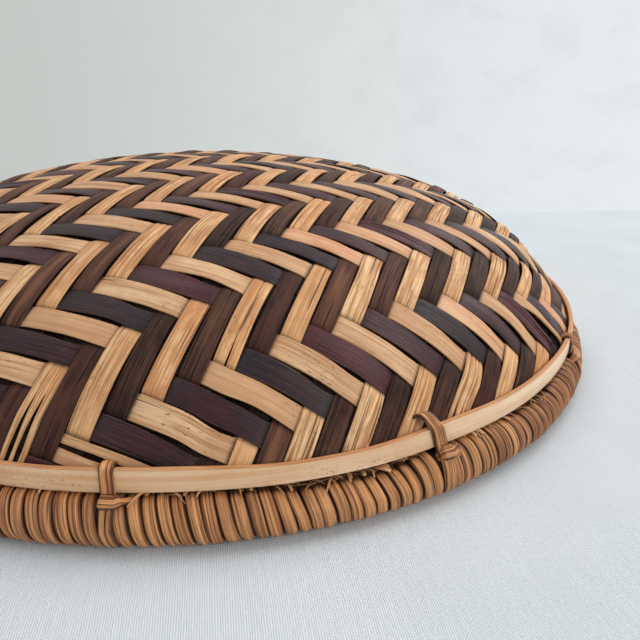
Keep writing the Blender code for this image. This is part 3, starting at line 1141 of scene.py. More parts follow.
        # The tone carries painted light at each float's middle and painted shade at its ends.
        tints = np.stack([tones + self.painted_float_shading * (belly - 0.6), blushes], axis=1)
        on_top = turn < FLOAT_CELLS
        near, far = (
            depth * nick * on_top * np.exp(-((done - place) / length) ** 2)
            for nick, (depth, place, length) in zip(nicks, (self.NEAR_NICK, self.FAR_NICK))
        )
        near_side, far_side = -1 + near, 1 - far
        lane = Lane(plan, step, width, shift, along, number)
        # Painted shade on the strip's outer face where it lies under others and where it goes down behind the
        # hoop.
        hidden = self.tucked_shade * ease(radial, hoop_inside, hoop_outside)
        under = np.maximum(ease(-over, -0.75, 0.65), hidden)
        curl = Curl(lift, twists * belly * calm, bows * (1 + over) / 2 * calm, under)
        solid = Solid()
        split = self.splits.get((way, number))
        for low, high, extra in self._ribbons(split, cells, near_side, far_side, rng):
            self._ribbon(solid, lane, replace(curl, lift=curl.lift + extra), low, high, tints)
        return solid

    def _over(self, turn: Array) -> Array:
        """Tells on which side of the others a strip lies.

        Args:
            turn: How many cells it has gone since it last came up.

        Returns:
            1 where it lies on top, -1 where it lies underneath, smooth in between.
        """
        up, down, up_again = (
            ease(turn, cells - self.change, cells + self.change) for cells in (0, FLOAT_CELLS, REPEAT_CELLS)
        )
        return 2 * (up - down + up_again) - 1

    def _ribbons(self, split: Split | None, cells: Array, near_side: Array, far_side: Array,
                 rng: np.random.Generator) -> list[tuple[Array, Array, Array | float]]:
        """The splinters of a strip. Most strips have only one.

        Args:
            split: Where the strip has come apart, if it has.
            cells: Places along it.
            near_side: Its own near side at each of them, about -1.
            far_side: Its far side, about 1.
            rng: Source of how far the splinters stand up.

        Returns:
            The two sides of each splinter and its lift.
        """
        if split is None:
            return [(near_side, far_side, 0.0)]
        whole = np.ones_like(cells)
        middle = (split.start + split.end) / 2
        half = (split.end - split.start) / 2
        open_share = np.clip(1 - np.abs(cells - middle) / half, 0, 1) ** 0.7
        sides = [-1.0, *split.lines, 1.0]
        gap = 0.01 + split.gap * open_share
        ribbons = []
        for low, high in zip(sides, sides[1:]):
            start = low * whole + (gap if low > -1 else split.torn * open_share)
            end = high * whole - (gap if high < 1 else 0)
            ribbons.append((start, end, open_share * split.lift * rng.uniform(-0.3, 1.0)))
        return ribbons

    def _ribbon(self, solid: Solid, lane: Lane, curl: Curl, low: Array, high: Array, tints: Array) -> None:
        """Adds one closed ribbon to a strip.

        Args:
            solid: The strip.
            lane: Where it runs.
            curl: How it bends out of the dome's face.
            low: One side of the ribbon within the strip, from -1 to 1.
            high: The other side.
            tints: Its tone, which holds painted light and shade along each float, and its blush.
        """
        section = np.array(self.FACE + self.BACK)
        middle, half = (low + high) / 2, (high - low) / 2
        lanes = middle[:, None] + half[:, None] * section[:, 0]
        shares = lane.shift[:, None] + lanes * lane.width[:, None] / 2
        points = lane.plan[:, None, :] + lane.step[:, None, :] * shares[..., None]
        bowed = curl.bow[:, None] * (0.5 - section[:, 0] ** 2)
        lifts = curl.lift[:, None] + curl.twist[:, None] * lanes + bowed + section[:, 1] * self.thickness
        rings = self.dome.place(points, lifts)
        reach = np.linalg.norm(lane.step, axis=1)[:, None] * lanes * lane.width[:, None] / 2
        seed = np.full_like(reach, lane.number * self.GRAIN_STEP)
        grain = np.stack([spread(lane.along, reach.shape), reach, seed], axis=-1)
        edge = np.broadcast_to(np.abs(section[:, 0]), reach.shape)
        tone, blush = (spread(tint, reach.shape) for tint in tints.T)
        outer = np.arange(len(section)) < len(self.FACE)
        solid.add_tube(rings, grain, np.stack([tone, blush, edge], axis=-1), curl.under[:, None] * outer)


# How far the turns' tops and the hoop's edge lie below their usual height.
RIM_DIPS = Course.of(
    MILLIMETRE,
    (-78.5, 12, 4.2), (-93, 10, 1.1), (-50, 12, 2.0), (20, 14, 1.3), (75, 12, 1.8), (150, 16, 1.4),
    (215, 12, 1.2),
)
HOOP_SAGS = Course.of(
    MILLIMETRE,
    (-80, 15, 2.4), (-108, 9, 0.8), (-55, 9, 0.5), (35, 20, 0.8), (140, 25, 1.0),
)
# How much browner the hoops and how much lighter the cane are than elsewhere, as changes of tone. The
# cane's darker stretches at the right front are painted shade.
HOOP_AGE = Course.of(1.0, (-118, 66, 0.66), (60, 50, 0.45))
CANE_LIGHT = Course.of(
    1.0,
    (-78, 24, 0.36), (-116, 22, 0.10), (-46, 18, -0.80), (-20, 28, -0.55), (40, 30, 0.15), (120, 35, -0.15),
)


@dataclass
class BentHoop:
    """A bamboo strip bent into a ring, its two tapered ends lapped."""

    packed: bpy.types.Object
    lap_at: float
    skin_outside: bool
    lap: float = 0.042
    tip: float = 0.0005
    lap_gap: float = 0.0001
    bulge: float = 0.00022
    wave: float = 0.00022  # how far its course wanders in and out
    edge_wave: float = 0.0002  # how far its upper edge wanders up and down
    low_sag: float = 0.35  # the share of a sag that its lower edge follows
    age: float = 0.10
    sags: Course = Course()
    stations: int = 400
    seed: int = 5

    ROUNDING = (0.16, 0.045)  # of its edges, as shares of its thickness and of its height
    WAVE_FADE = 0.3  # how fast the waves fade towards its two ends
    # The shade on the covered side is painted shade.
    COVERED = (0.9, 0.8)  # the height up to which the mat covers its other side, and the shade there

    def build(self, material: bpy.types.Material) -> bpy.types.Object:
        """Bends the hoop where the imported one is.

        Args:
            material: Its finish.

        Returns:
            The hoop.
        """
        name = self.packed.name
        low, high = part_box(name)
        outer = (high.x - low.x) / 2
        inner = min(math.hypot(point.co.x, point.co.y) for point in self.packed.data.vertices)
        rng = np.random.default_rng(self.seed)
        lap = self.lap / inner
        angles = np.linspace(self.lap_at, self.lap_at + 2 * math.pi + lap, self.stations)
        turned = angles - self.lap_at
        slant = (outer - inner - 2 * self.tip) / lap
        near = inner + np.where(turned > 2 * math.pi, self.tip + slant * (turned - 2 * math.pi), 0.0)
        far = np.where(turned < lap, inner + self.tip + slant * turned - self.lap_gap, outer)
        fade = np.sin(turned / turned.max() * math.pi) ** self.WAVE_FADE
        wave = self.wave * wander(rng, turned, 0.35) * fade
        sag = self.sags.at(angles)
        top = high.z + self.edge_wave * wander(rng, turned, 0.22) - sag
        bottom = low.z - self.low_sag * sag
        section, cut = self._section()
        radius = near[:, None] + (far - near)[:, None] * section[:, 0] + wave[:, None]
        if self.skin_outside:
            radius += self.bulge * section[:, 2]
        height = bottom[:, None] + (top - bottom)[:, None] * section[:, 1]
        rings = polar(radius, angles[:, None], height)
        along = spread(outer * turned, radius.shape)
        grain = np.stack([along, height + (radius - inner) * cut, np.full_like(height, self.seed)], axis=-1)
        tone = spread(self.age + HOOP_AGE.at(angles) + 0.10 * wander(rng, turned, 0.5), radius.shape)
        lowness = np.broadcast_to(1 - section[:, 1], radius.shape)
        look = np.stack([tone, lowness, np.broadcast_to(cut, radius.shape)], axis=-1)
        # Painted shade on the side that lies against the mat.
        inside = (section[:, 0] == 0) if self.skin_outside else (section[:, 0] == 1)
        covered_height, shade = self.COVERED
        covered = np.broadcast_to(inside * (section[:, 1] < covered_height) * shade, height.shape)
        solid = Solid()
        solid.add_tube(rings, grain, look, covered)
        hoop = solid.make(f"{name}_bamboo", material)
        fit(hoop, "pale_bamboo", name)
        return hoop

    def _section(self) -> tuple[Array, Array]:
        """Goes round the hoop's section.

        Returns:
            Shares of the hoop's thickness, height and bulge at each point, and how much it is a cut side.
        """
        round_in, round_up = self.ROUNDING
        bend = math.sqrt(0.5)
        rows = np.array([
            (0.0, 1 - round_up, 0, 0.6), (round_in * (1 - bend), 1 - round_up * (1 - bend), 0, 0.8),
            (round_in, 1.0, 0, 1), (0.5, 1.01, 0, 1), (1 - round_in, 1.0, 0, 1),
            (1 - round_in * (1 - bend), 1 - round_up * (1 - bend), 0, 0.7), (1.0, 1 - round_up, 0.1, 0.1),
            (1.0, 0.75, 0.75, 0), (1.0, 0.5, 1.0, 0), (1.0, 0.25, 0.75, 0), (1.0, round_up, 0.1, 0.1),
            (1 - round_in, 0.0, 0, 1), (round_in, 0.0, 0, 1), (0.0, round_up, 0, 0.6), (0.0, 0.5, 0, 0.5),
            (0.0, 0.84, 0, 0.5),
        ])
        return rows[:, :3], rows[:, 3]


@dataclass
class RimOutline:
    """Section of the lashed rim, as (distance from the axis, height), rounded as the cane lies on it."""

    outer: float
    height: float
    width: float = 0.0165
    foot_set_back: float = 0.0040
    crown_set_back: float = 0.0052
    belly_height: float = 0.0098
    rounding: int = 3
    line: Array = field(init=False)

    DIP_FROM = (0.90, 0.70)  # across the rim, the shares of its width from which a dip begins and is whole
    DIP_UP = 0.40  # the share of its height below which nothing gives way

    def __post_init__(self) -> None:
        """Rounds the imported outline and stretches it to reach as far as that."""
        inner = self.outer - self.width
        corners = np.array([
            (inner, self.height), (inner, 0.0), (self.outer - self.foot_set_back, 0.0),
            (self.outer, self.belly_height), (self.outer - self.crown_set_back, self.height),
        ])
        line = np.insert(corners, 1, corners[:2].mean(axis=0), axis=0)
        for _ in range(self.rounding):
            after = np.roll(line, -1, axis=0)
            line = np.stack([0.75 * line + 0.25 * after, 0.25 * line + 0.75 * after], axis=1).reshape(-1, 2)
        low, high = line.min(axis=0), line.max(axis=0)
        wanted_low, wanted_high = np.array([inner, 0.0]), np.array([self.outer, self.height])
        line = wanted_low + (line - low) / (high - low) * (wanted_high - wanted_low)
        start = int(np.argmin(np.hypot(line[:, 0] - inner, line[:, 1] - self.height)))
        self.line = np.roll(line, -start, axis=0)

    def at(self, share: Array) -> tuple[Array, Array]:
        """Places on the outline.

        Args:
            share: How far round each one is, 0 at the inner top edge and growing down the inside.

        Returns:
            The places and the unit normals outwards.
        """
        line = np.concatenate([self.line, self.line[:1]])
        lengths = distances(line)
        wrapped = np.mod(share, 1.0) * lengths[-1]
        near = 0.0006

        def read(distance: Array) -> Array:
            """Places at distances along the line."""
            distance = np.mod(distance, lengths[-1])
            return np.stack([np.interp(distance, lengths, line[:, k]) for k in (0, 1)], axis=-1)

        way = unit(read(wrapped + near) - read(wrapped - near))
        return read(wrapped), np.stack([way[..., 1], -way[..., 0]], axis=-1)

    def lowered(self, place: Array) -> Array:
        """Tells how much of a dip the rim gives way, all at the outer top and nothing inside.

        Args:
            place: Places on the outline.

        Returns:
            The share at each of them.
        """
        begins, whole = (self.outer - share * self.width for share in self.DIP_FROM)
        upper = ease(place[:, 1], self.DIP_UP * self.height, self.height)
        return ease(place[:, 0], begins, whole) * upper

    def belly_share(self) -> float:
        """Where on the outline the rim is widest."""
        shares = np.linspace(0, 1, 400)
        return float(shares[np.argmax(self.at(shares)[0][:, 0])])


class CaneSection:
    """Half-round section of split cane, as shares of its half width and height."""

    EDGE_AT = 82  # degrees from the ridge to the first and last point of its round face
    GROOVE_HALF = 0.15
    # Painted shade at the bottom of each groove.
    GROOVE_SHADE = (4, 0.93)  # how fast a groove darkens with its depth, and the most that it does

    def __init__(self, count: int = 17, power: float = 0.75) -> None:
        """Works out the section's points from one edge over the ridge to the other, and its flat back.

        Args:
            count: Number of points on the round face.
            power: How boxy that face is, from 1 for a half circle down to 0 for a flat one.
        """
        turn = np.radians(np.linspace(-self.EDGE_AT, self.EDGE_AT, count))
        self.across = np.concatenate([np.sin(turn), [0.9, -0.9]])
        self.up = np.concatenate([np.cos(turn) ** power, [0.0, 0.0]])

    def rings(self, place: Array, normal: Array, side: Array, half: Array, height: Array,
              grooves: list[tuple[Array, Array]]) -> tuple[Array, Array, Array]:
        """Rings of a cane.

        Args:
            place: Points on the cane's outer face, along its ridge.
            normal: Unit vectors outwards.
            side: Unit vectors across the cane.
            half: Half its width at each point.
            height: Its thickness at each point.
            grooves: Grooves along it, each as its depth, a share of the cane's thickness, and where across
                the cane it runs, from -1 to 1.

        Returns:
            The rings, the distance of each of their points across the cane, and how near each one is to an
            edge or to the bottom of a groove, which sets the painted shade there.
        """
        up = np.broadcast_to(self.up, (len(place), len(self.up))).copy()
        edge = np.broadcast_to(np.abs(self.across), up.shape).copy()
        darkening, darkest = self.GROOVE_SHADE
        for depth, across in grooves:
            dent = np.exp(-(((self.across - across[:, None]) / self.GROOVE_HALF) ** 2))
            up *= 1 - depth[:, None] * dent
            edge = np.maximum(edge, np.clip(depth[:, None] * darkening, 0, darkest) * dent)
        reach = half[:, None] * self.across
        base = place - normal * height[:, None]
        rings = base[:, None, :] + side[:, None, :] * reach[..., None]
        rings = rings + normal[:, None, :] * (height[:, None] * up)[..., None]
        return rings, reach, edge


@dataclass
class SplitRod:
    """One of the two split rods side by side inside the lashing, its ends butted."""

    packed: bpy.types.Object
    outline: RimOutline
    outer: bool
    butt_at: float
    dips: Course
    inset: float = 0.0021  # in from the cane's outer face
    butt_gap: float = 0.0020
    dip_share: float = 1.15  # how far it lies lower where the cane does
    ridge: float = 0.00018
    # How much painted shade lies on the rod's top, under the hoop.
    shade: float = 0.7
    middle_gap: float = 0.0003  # from the rim's middle to each rod
    stations: int = 200
    around: int = 26
    seed: int = 53

    GRAIN_SEED = 7.0

    def build(self, material: bpy.types.Material) -> None:
        """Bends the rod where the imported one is.

        Args:
            material: Its finish.
        """
        share = self._shares()
        place, normal = self.outline.at(share)
        place = place - normal * self.inset
        half = self.butt_gap / 2 / self.outline.outer
        angle = np.linspace(self.butt_at + half, self.butt_at + 2 * math.pi - half, self.stations)
        rng = np.random.default_rng((self.seed, int(self.outer)))
        ridges = np.array([wander(rng, angle, 0.4) for _ in share]).T * self.ridge
        out = place[:, 0] - np.abs(ridges) * normal[:, 0]
        yielding = self.outline.lowered(place + normal * self.inset)
        sunk = self.dips.at(angle)[:, None] * self.dip_share * yielding
        # Where the rod's top is, which gets painted shade.
        top = ease(place[:, 1], 0.35 * self.outline.height, self.outline.height - self.inset)
        up = place[:, 1] - sunk - np.abs(ridges) * normal[:, 1]
        rings = polar(out, angle[:, None], up)
        along = spread(self.outline.outer * angle, out.shape)
        across = np.broadcast_to(share * 0.08, out.shape)
        grain = np.stack([along, across, np.full(out.shape, self.GRAIN_SEED + self.outer)], axis=-1)
        solid = Solid()
        solid.add_tube(rings, grain, np.zeros(3), np.broadcast_to(top * self.shade, out.shape))
        piece = solid.make(f"{self.packed.name}_rod", material)
        fit(piece, "bent_rod", self.packed.name)

    def _shares(self) -> Array:
        """Finds this rod's half of the rim's outline.

        Returns:
            Where round the outline the points of the rod's section are.
        """
        shares = np.linspace(0, 1, 1200, endpoint=False)
        radius = self.outline.at(shares)[0][:, 0]
        middle = self.outline.outer - self.outline.width / 2
        outside = np.flatnonzero(radius > middle + self.middle_gap)
        inside = np.flatnonzero(radius < middle - self.middle_gap)
        if self.outer:
            return np.linspace(shares[outside[0]], shares[outside[-1]], self.around)
        gap = int(np.argmax(np.diff(inside)))
        return np.linspace(shares[inside[gap + 1]] - 1, shares[inside[gap]], self.around)


@dataclass
class Lashing:
    """Lengths of split cane wound round the rim, one between each pair of ties."""

    outline: RimOutline
    ties: int = 11
    places: int = 25  # turns from one tie to the next, with the tie's own
    first_tie: float = math.radians(-100.3)
    cane_height: float = 0.0021
    fill: float = 0.99  # the share of its place that a turn fills
    samples: int = 30  # rings to a turn
    start_share: float = 0.045
    proud: float = 0.0003  # the most that one turn stands out more than the next
    drift: float = 0.085  # the most that a turn strays to its side, as a share of its place
    # Painted shade on the turns' tops grows with the dip and is whole in a dip this deep.
    full_shade_dip: float = 0.0018  # a dip in which the turns' tops are darkened in full
    groove: Triple = (0.14, 0.24, 0.36)  # usual depth, its change and the deepest
    groove_at: tuple[float, float] = (-0.35, 0.35)
    dips: Course = RIM_DIPS
    seed: int = 23

    GRAIN_SEED = 40.0
    GRAIN_STEP = 5.3
    # Where on its way round the rim the painted shade on a turn's top under the hoop begins and is whole, and
    # how much sooner in a dip.
    SHADE_BEGINS = (0.93, 0.060)
    SHADE_WHOLE = (0.99, 0.075)
    # How much of the way to the next turn is done at shares of the way round the rim.
    ADVANCE = ((0.0, 0.0), (0.32, 0.05), (0.50, 0.15), (0.66, 0.50), (0.86, 0.86), (1.0, 1.0))

    @property
    def turn_angle(self) -> float:
        """From one turn to the next."""
        return 2 * math.pi / self.ties / self.places

    def tie_angle(self, number: int) -> float:
        """Where a tie is."""
        return self.first_tie + number * 2 * math.pi / self.ties

    def advance(self, share: Array) -> Array:
        """How much of a turn's way along the rim is done at a share of its way round it."""
        shares, done = np.array(self.ADVANCE).T
        return np.interp(share, shares, done)

    def build(self, material: bpy.types.Material) -> None:
        """Winds all the lengths of cane.

        Args:
            material: Their finish.
        """
        section = CaneSection()
        for number in range(self.ties):
            piece = self._length(number, section).make(f"cane_lashing_{number + 1:02d}", material, crease=55)
            fit(piece, "golden_cane", f"rim_lashing_{number + 1:02d}")

    def _length(self, number: int, section: CaneSection) -> Solid:
        """Winds one length of cane.

        Args:
            number: Its number, which is that of the tie where it ends.
            section: The cane's section.

        Returns:
            Its mesh.
        """
        rng = np.random.default_rng((self.seed, number))
        turns = self.places - 1
        round_count = np.linspace(self.start_share, turns, turns * self.samples)
        share = np.mod(round_count, 1.0)
        whole = np.floor(round_count)
        belly = self.outline.belly_share()
        before_belly = float(self.advance(np.array([belly]))[0])
        first = self.tie_angle(number + 1) - self.turn_angle * (1 - before_belly)
        angle = first - (whole + self.advance(share)) * self.turn_angle
        angle += self.turn_angle * self.drift * wander(rng, round_count, 0.5)
        place, normal = self.outline.at(share)
        outside = ease(share, 0.42, 0.55)
        proud = self.proud * wander(rng, round_count, 0.6) * outside
        place = place + normal * (proud - self.proud * outside)[:, None]
        uneven = through(rng.uniform(0.72, 1.15, turns + 3), round_count)
        sag = self.dips.at(angle) * uneven + 0.0003 * uneven
        place[:, 1] -= sag * self.outline.lowered(place)
        # The tone changes at random, with painted shade at the right front from the course round the rim.
        tone = through(rng.uniform(0.0, 1.0, turns + 2), round_count) + 0.08 + CANE_LIGHT.at(angle)
        wear_and_sheen = np.clip(wander(rng, round_count, 0.4), 0, 1)
        half = place[:, 0] * self.turn_angle / 2 * (self.fill + 0.05 * wander(rng, round_count, 0.7))
        height = self.cane_height * (1 + 0.08 * wander(rng, round_count, 0.8))
        usual, change, deepest = self.groove
        grooves = []
        for across in self.groove_at:
            depth = np.clip(usual + change * wander(rng, round_count, 0.8), 0, deepest)
            grooves.append((depth, across + 0.3 * wander(rng, round_count, 0.9)))
        points = polar(place[:, 0], angle, place[:, 1])
        outwards = polar(normal[:, 0], angle, normal[:, 1])
        side = polar(1.0, angle + math.pi / 2, 0.0)
        rings, reach, edge = section.rings(points, outwards, side, half, height, grooves)
        shape = reach.shape
        seed = np.full(shape, self.GRAIN_SEED + number * self.GRAIN_STEP)
        grain = np.stack([spread(distances(points), shape), reach, seed], axis=-1)
        look = np.stack([spread(tone, shape), spread(wear_and_sheen, shape), edge], axis=-1)
        # Painted shade on each turn's top under the hoop and on its start inside the rim.
        deep = np.clip(sag / self.full_shade_dip, 0, 1)
        edges = (self.SHADE_BEGINS, self.SHADE_WHOLE)
        shaded = ease(share, *(on_level - sooner * deep for on_level, sooner in edges))
        tucked = np.maximum(shaded, 1 - ease(share, 0.05, 0.12)) * (share != 0)
        solid = Solid()
        solid.add_tube(rings, grain, look, tucked[:, None])
        return solid


@dataclass
class Tie:
    """One tie: a strap of cane round the rim and over the hoop into the weave, and a band knotted over it."""

    lashing: Lashing
    number: int
    hoop_radius: float
    hoop_top: float
    width: float = 0.0060
    thickness: float = 0.0018
    band: float = 0.0060
    band_reach: float = 0.0088
    hoop_gap: float = 0.0004  # between the strap and the hoop
    strap_lift: float = 0.0006  # how far the strap stands out from the turns beside it
    seed: int = 71

    # What shows of the three ties in view, by number: how far the strap leans, how its band tilts and
    # where the band starts.
    SLANTS = {0: 0.0002, 1: 0.0072, 2: 0.0050}
    TILTS = {0: -0.004, 1: -0.012, 2: 0.012}
    STARTS = {0: -0.50, 1: -0.42}
    USUAL_START = -0.56
    # The same for the ties out of view, as ranges.
    SLANT_RANGE = (-0.003, 0.006)
    TILT_RANGE = (-0.02, 0.02)
    # The second tie's strap runs further up the mat, and both its strap and its band are wider.
    HIGH_TIE = 1
    WIDER_STRAP = 0.14
    WIDER_BAND = 0.22
    # Ways of a strap over the hoop and into the mat, in millimetres from its place beside the hoop's top.
    HOOK = (
        (0.3, -10.0), (0.0, -4.0), (-0.2, -0.4), (-1.4, 1.6), (-4.2, 2.1), (-7.4, 0.9), (-9.8, -2.4),
    )
    LONG_HOOK = (
        (0.3, -10.0), (0.0, -4.0), (-0.2, -0.2), (-1.6, 2.4), (-4.0, 4.6), (-6.6, 5.6), (-8.8, 4.6),
        (-10.6, 2.4),
    )
    END_SHARE = 0.86  # the share of the way round the rim that the strap has gone where it leaves the rim
    STRAP_RINGS = 110
    BAND_RINGS = 40
    WANDER_RINGS = 12  # rings to a unit of random change
    MOST_LEAN = 0.05  # of the strap, in turns
    BAND_SHARE = 0.832  # where on the rim's outline the band crosses the strap
    GRAIN_SEED = 300.0
    GRAIN_STEP = 5.3

    @property
    def wider(self) -> bool:
        """Whether this is the tie with the longer and wider strap."""
        return self.number == self.HIGH_TIE

    def build(self, material: bpy.types.Material) -> None:
        """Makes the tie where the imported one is.

        Args:
            material: Its finish.
        """
        rng = np.random.default_rng((self.seed, self.number))
        solid = Solid()
        self._strap(solid, rng)
        self._band(solid, rng)
        piece = solid.make(f"cane_tie_{self.number + 1:02d}", material, crease=55)
        fit(piece, "golden_cane", f"tie_{self.number + 1:02d}")

    def _strap(self, solid: Solid, rng: np.random.Generator) -> None:
        """Adds the strap.

        Args:
            solid: The tie.
            rng: Source of its random values.
        """
        outline = self.lashing.outline
        shares = np.linspace(self.lashing.start_share, 0.80, 34)
        low, normal = outline.at(shares)
        low = low + normal * (self.strap_lift * ease(shares, 0.5, 0.75))[:, None]
        over = self.hoop_radius + (self.thickness + self.hoop_gap)
        hook = self.LONG_HOOK if self.wider else self.HOOK
        hooked = np.array([over, self.hoop_top]) + np.array(hook) * MILLIMETRE
        knots = np.concatenate([low[::3], hooked])
        path = through(knots, np.linspace(0, len(knots) - 1, self.STRAP_RINGS))
        way = unit(np.gradient(path, axis=0))
        outwards = np.stack([way[:, 1], -way[:, 0]], axis=-1)
        belly = outline.belly_share()
        ring = np.arange(self.STRAP_RINGS)
        gone = np.concatenate([shares[::3], np.full(len(hooked), self.END_SHARE)])
        progress = np.interp(ring / ring[-1] * (len(knots) - 1), np.arange(len(knots)), gone)
        lean = self.lashing.advance(progress) - self.lashing.advance(np.array([belly]))
        lean = np.minimum(lean, self.MOST_LEAN)
        slant = self.SLANTS.get(self.number, rng.uniform(*self.SLANT_RANGE))
        climbed = np.clip((path[:, 1] - outline.height) / (self.hoop_top + 0.003 - outline.height), 0, 1)
        hooked_in = np.clip((over - path[:, 0]) / 0.012, 0, 1) * (climbed > 0.5)
        angle = self.lashing.tie_angle(self.number) - lean * self.lashing.turn_angle
        angle -= slant * (0.6 * climbed + 0.6 * hooked_in) / over
        points = polar(path[:, 0], angle, path[:, 1])
        normals = polar(outwards[:, 0], angle, outwards[:, 1])
        side = polar(1.0, angle + math.pi / 2, 0.0)
        count = ring / self.WANDER_RINGS
        half = self.width / 2 * (1 + 0.06 * wander(rng, count, 1.0) + self.WIDER_STRAP * self.wider)
        height = np.full(len(ring), self.thickness)
        grooves = [
            (np.full(len(ring), 0.40), 0.15 * wander(rng, count, 2.0)),
            (np.full(len(ring), 0.16), 0.55 + 0.1 * wander(rng, count, 2.0)),
        ]
        self._cane(solid, points, normals, side, half, height, grooves, rng)

    def _band(self, solid: Solid, rng: np.random.Generator) -> None:
        """Adds the band over the strap, where the rim meets the hoop, with its ends tucked in.

        Args:
            solid: The tie.
            rng: Source of its random values.
        """
        outline = self.lashing.outline
        start = self.STARTS.get(self.number, self.USUAL_START)
        along = np.linspace(start, 1.0, self.BAND_RINGS)
        swell = ease(along, start - 0.06, start + 0.26) * (1 - ease(along, 0.50, 0.90))
        tilt = self.TILTS.get(self.number, rng.uniform(*self.TILT_RANGE))
        share = self.BAND_SHARE + 0.060 * np.maximum(along - 0.35, 0) + tilt * along
        place, normal = outline.at(share)
        lift = -0.0012 + 0.0036 * swell + 0.0012 * ease(along, 0.6, 0.9)
        lift = lift - 0.0014 * (1 - ease(along, start, start + 0.12))
        place = place + normal * lift[:, None]
        middle = self.lashing.tie_angle(self.number) - self.MOST_LEAN * self.lashing.turn_angle
        angle = middle + along * self.band_reach / place[:, 0]
        points = polar(place[:, 0], angle, place[:, 1])
        normals = polar(normal[:, 0], angle, normal[:, 1])
        way = unit(np.gradient(points, axis=0))
        normals = unit(normals - way * (normals * way).sum(axis=1)[:, None])
        side = np.cross(way, normals)
        slim = np.where(along > 0, 0.50, 0.55)
        half = self.band / 2 * (slim + (1 - slim) * swell) * (1 + 0.08 * wander(rng, along, 0.5))
        half = half * (1 + self.WIDER_BAND * self.wider)
        height = np.full(len(along), self.thickness)
        grooves = [(np.full(len(along), 0.18), 0.4 * wander(rng, along, 0.8))]
        self._cane(solid, points, normals, side, half, height, grooves, rng)

    def _cane(self, solid: Solid, points: Array, normals: Array, side: Array, half: Array, height: Array,
              grooves: list[tuple[Array, Array]], rng: np.random.Generator) -> None:
        """Adds a run of cane to the tie.

        Args:
            solid: The tie.
            points: Its ridge.
            normals: Outward unit vectors.
            side: Unit vectors across it.
            half: Half its width.
            height: Its thickness.
            grooves: Depth and place of each groove along it.
            rng: Source of its random tones.
        """
        section = CaneSection(count=13, power=0.6)
        count = np.arange(len(points)) / self.WANDER_RINGS
        rings, reach, edge = section.rings(points, normals, side, half, height, grooves)
        shape = reach.shape
        seed = np.full(shape, self.GRAIN_SEED + self.number * self.GRAIN_STEP + solid.count * 0.01)
        grain = np.stack([spread(distances(points), shape), reach, seed], axis=-1)
        tone = spread(0.45 + 0.3 * wander(rng, count, 2.0), shape)
        wear_and_sheen = spread(np.clip(wander(rng, count, 1.0), 0, 1), shape)
        solid.add_tube(rings, grain, np.stack([tone, wear_and_sheen, edge], axis=-1))


@dataclass(frozen=True)
class LooseEnd:
    """One longer pale splinter, from under the hoop down over the turns."""

    start: float  # its upper and its lower end, as angles round the basket
    end: float
    top: float  # the same ends, as shares of the rim's outline
    bottom: float
    half: float  # half its width in millimetres


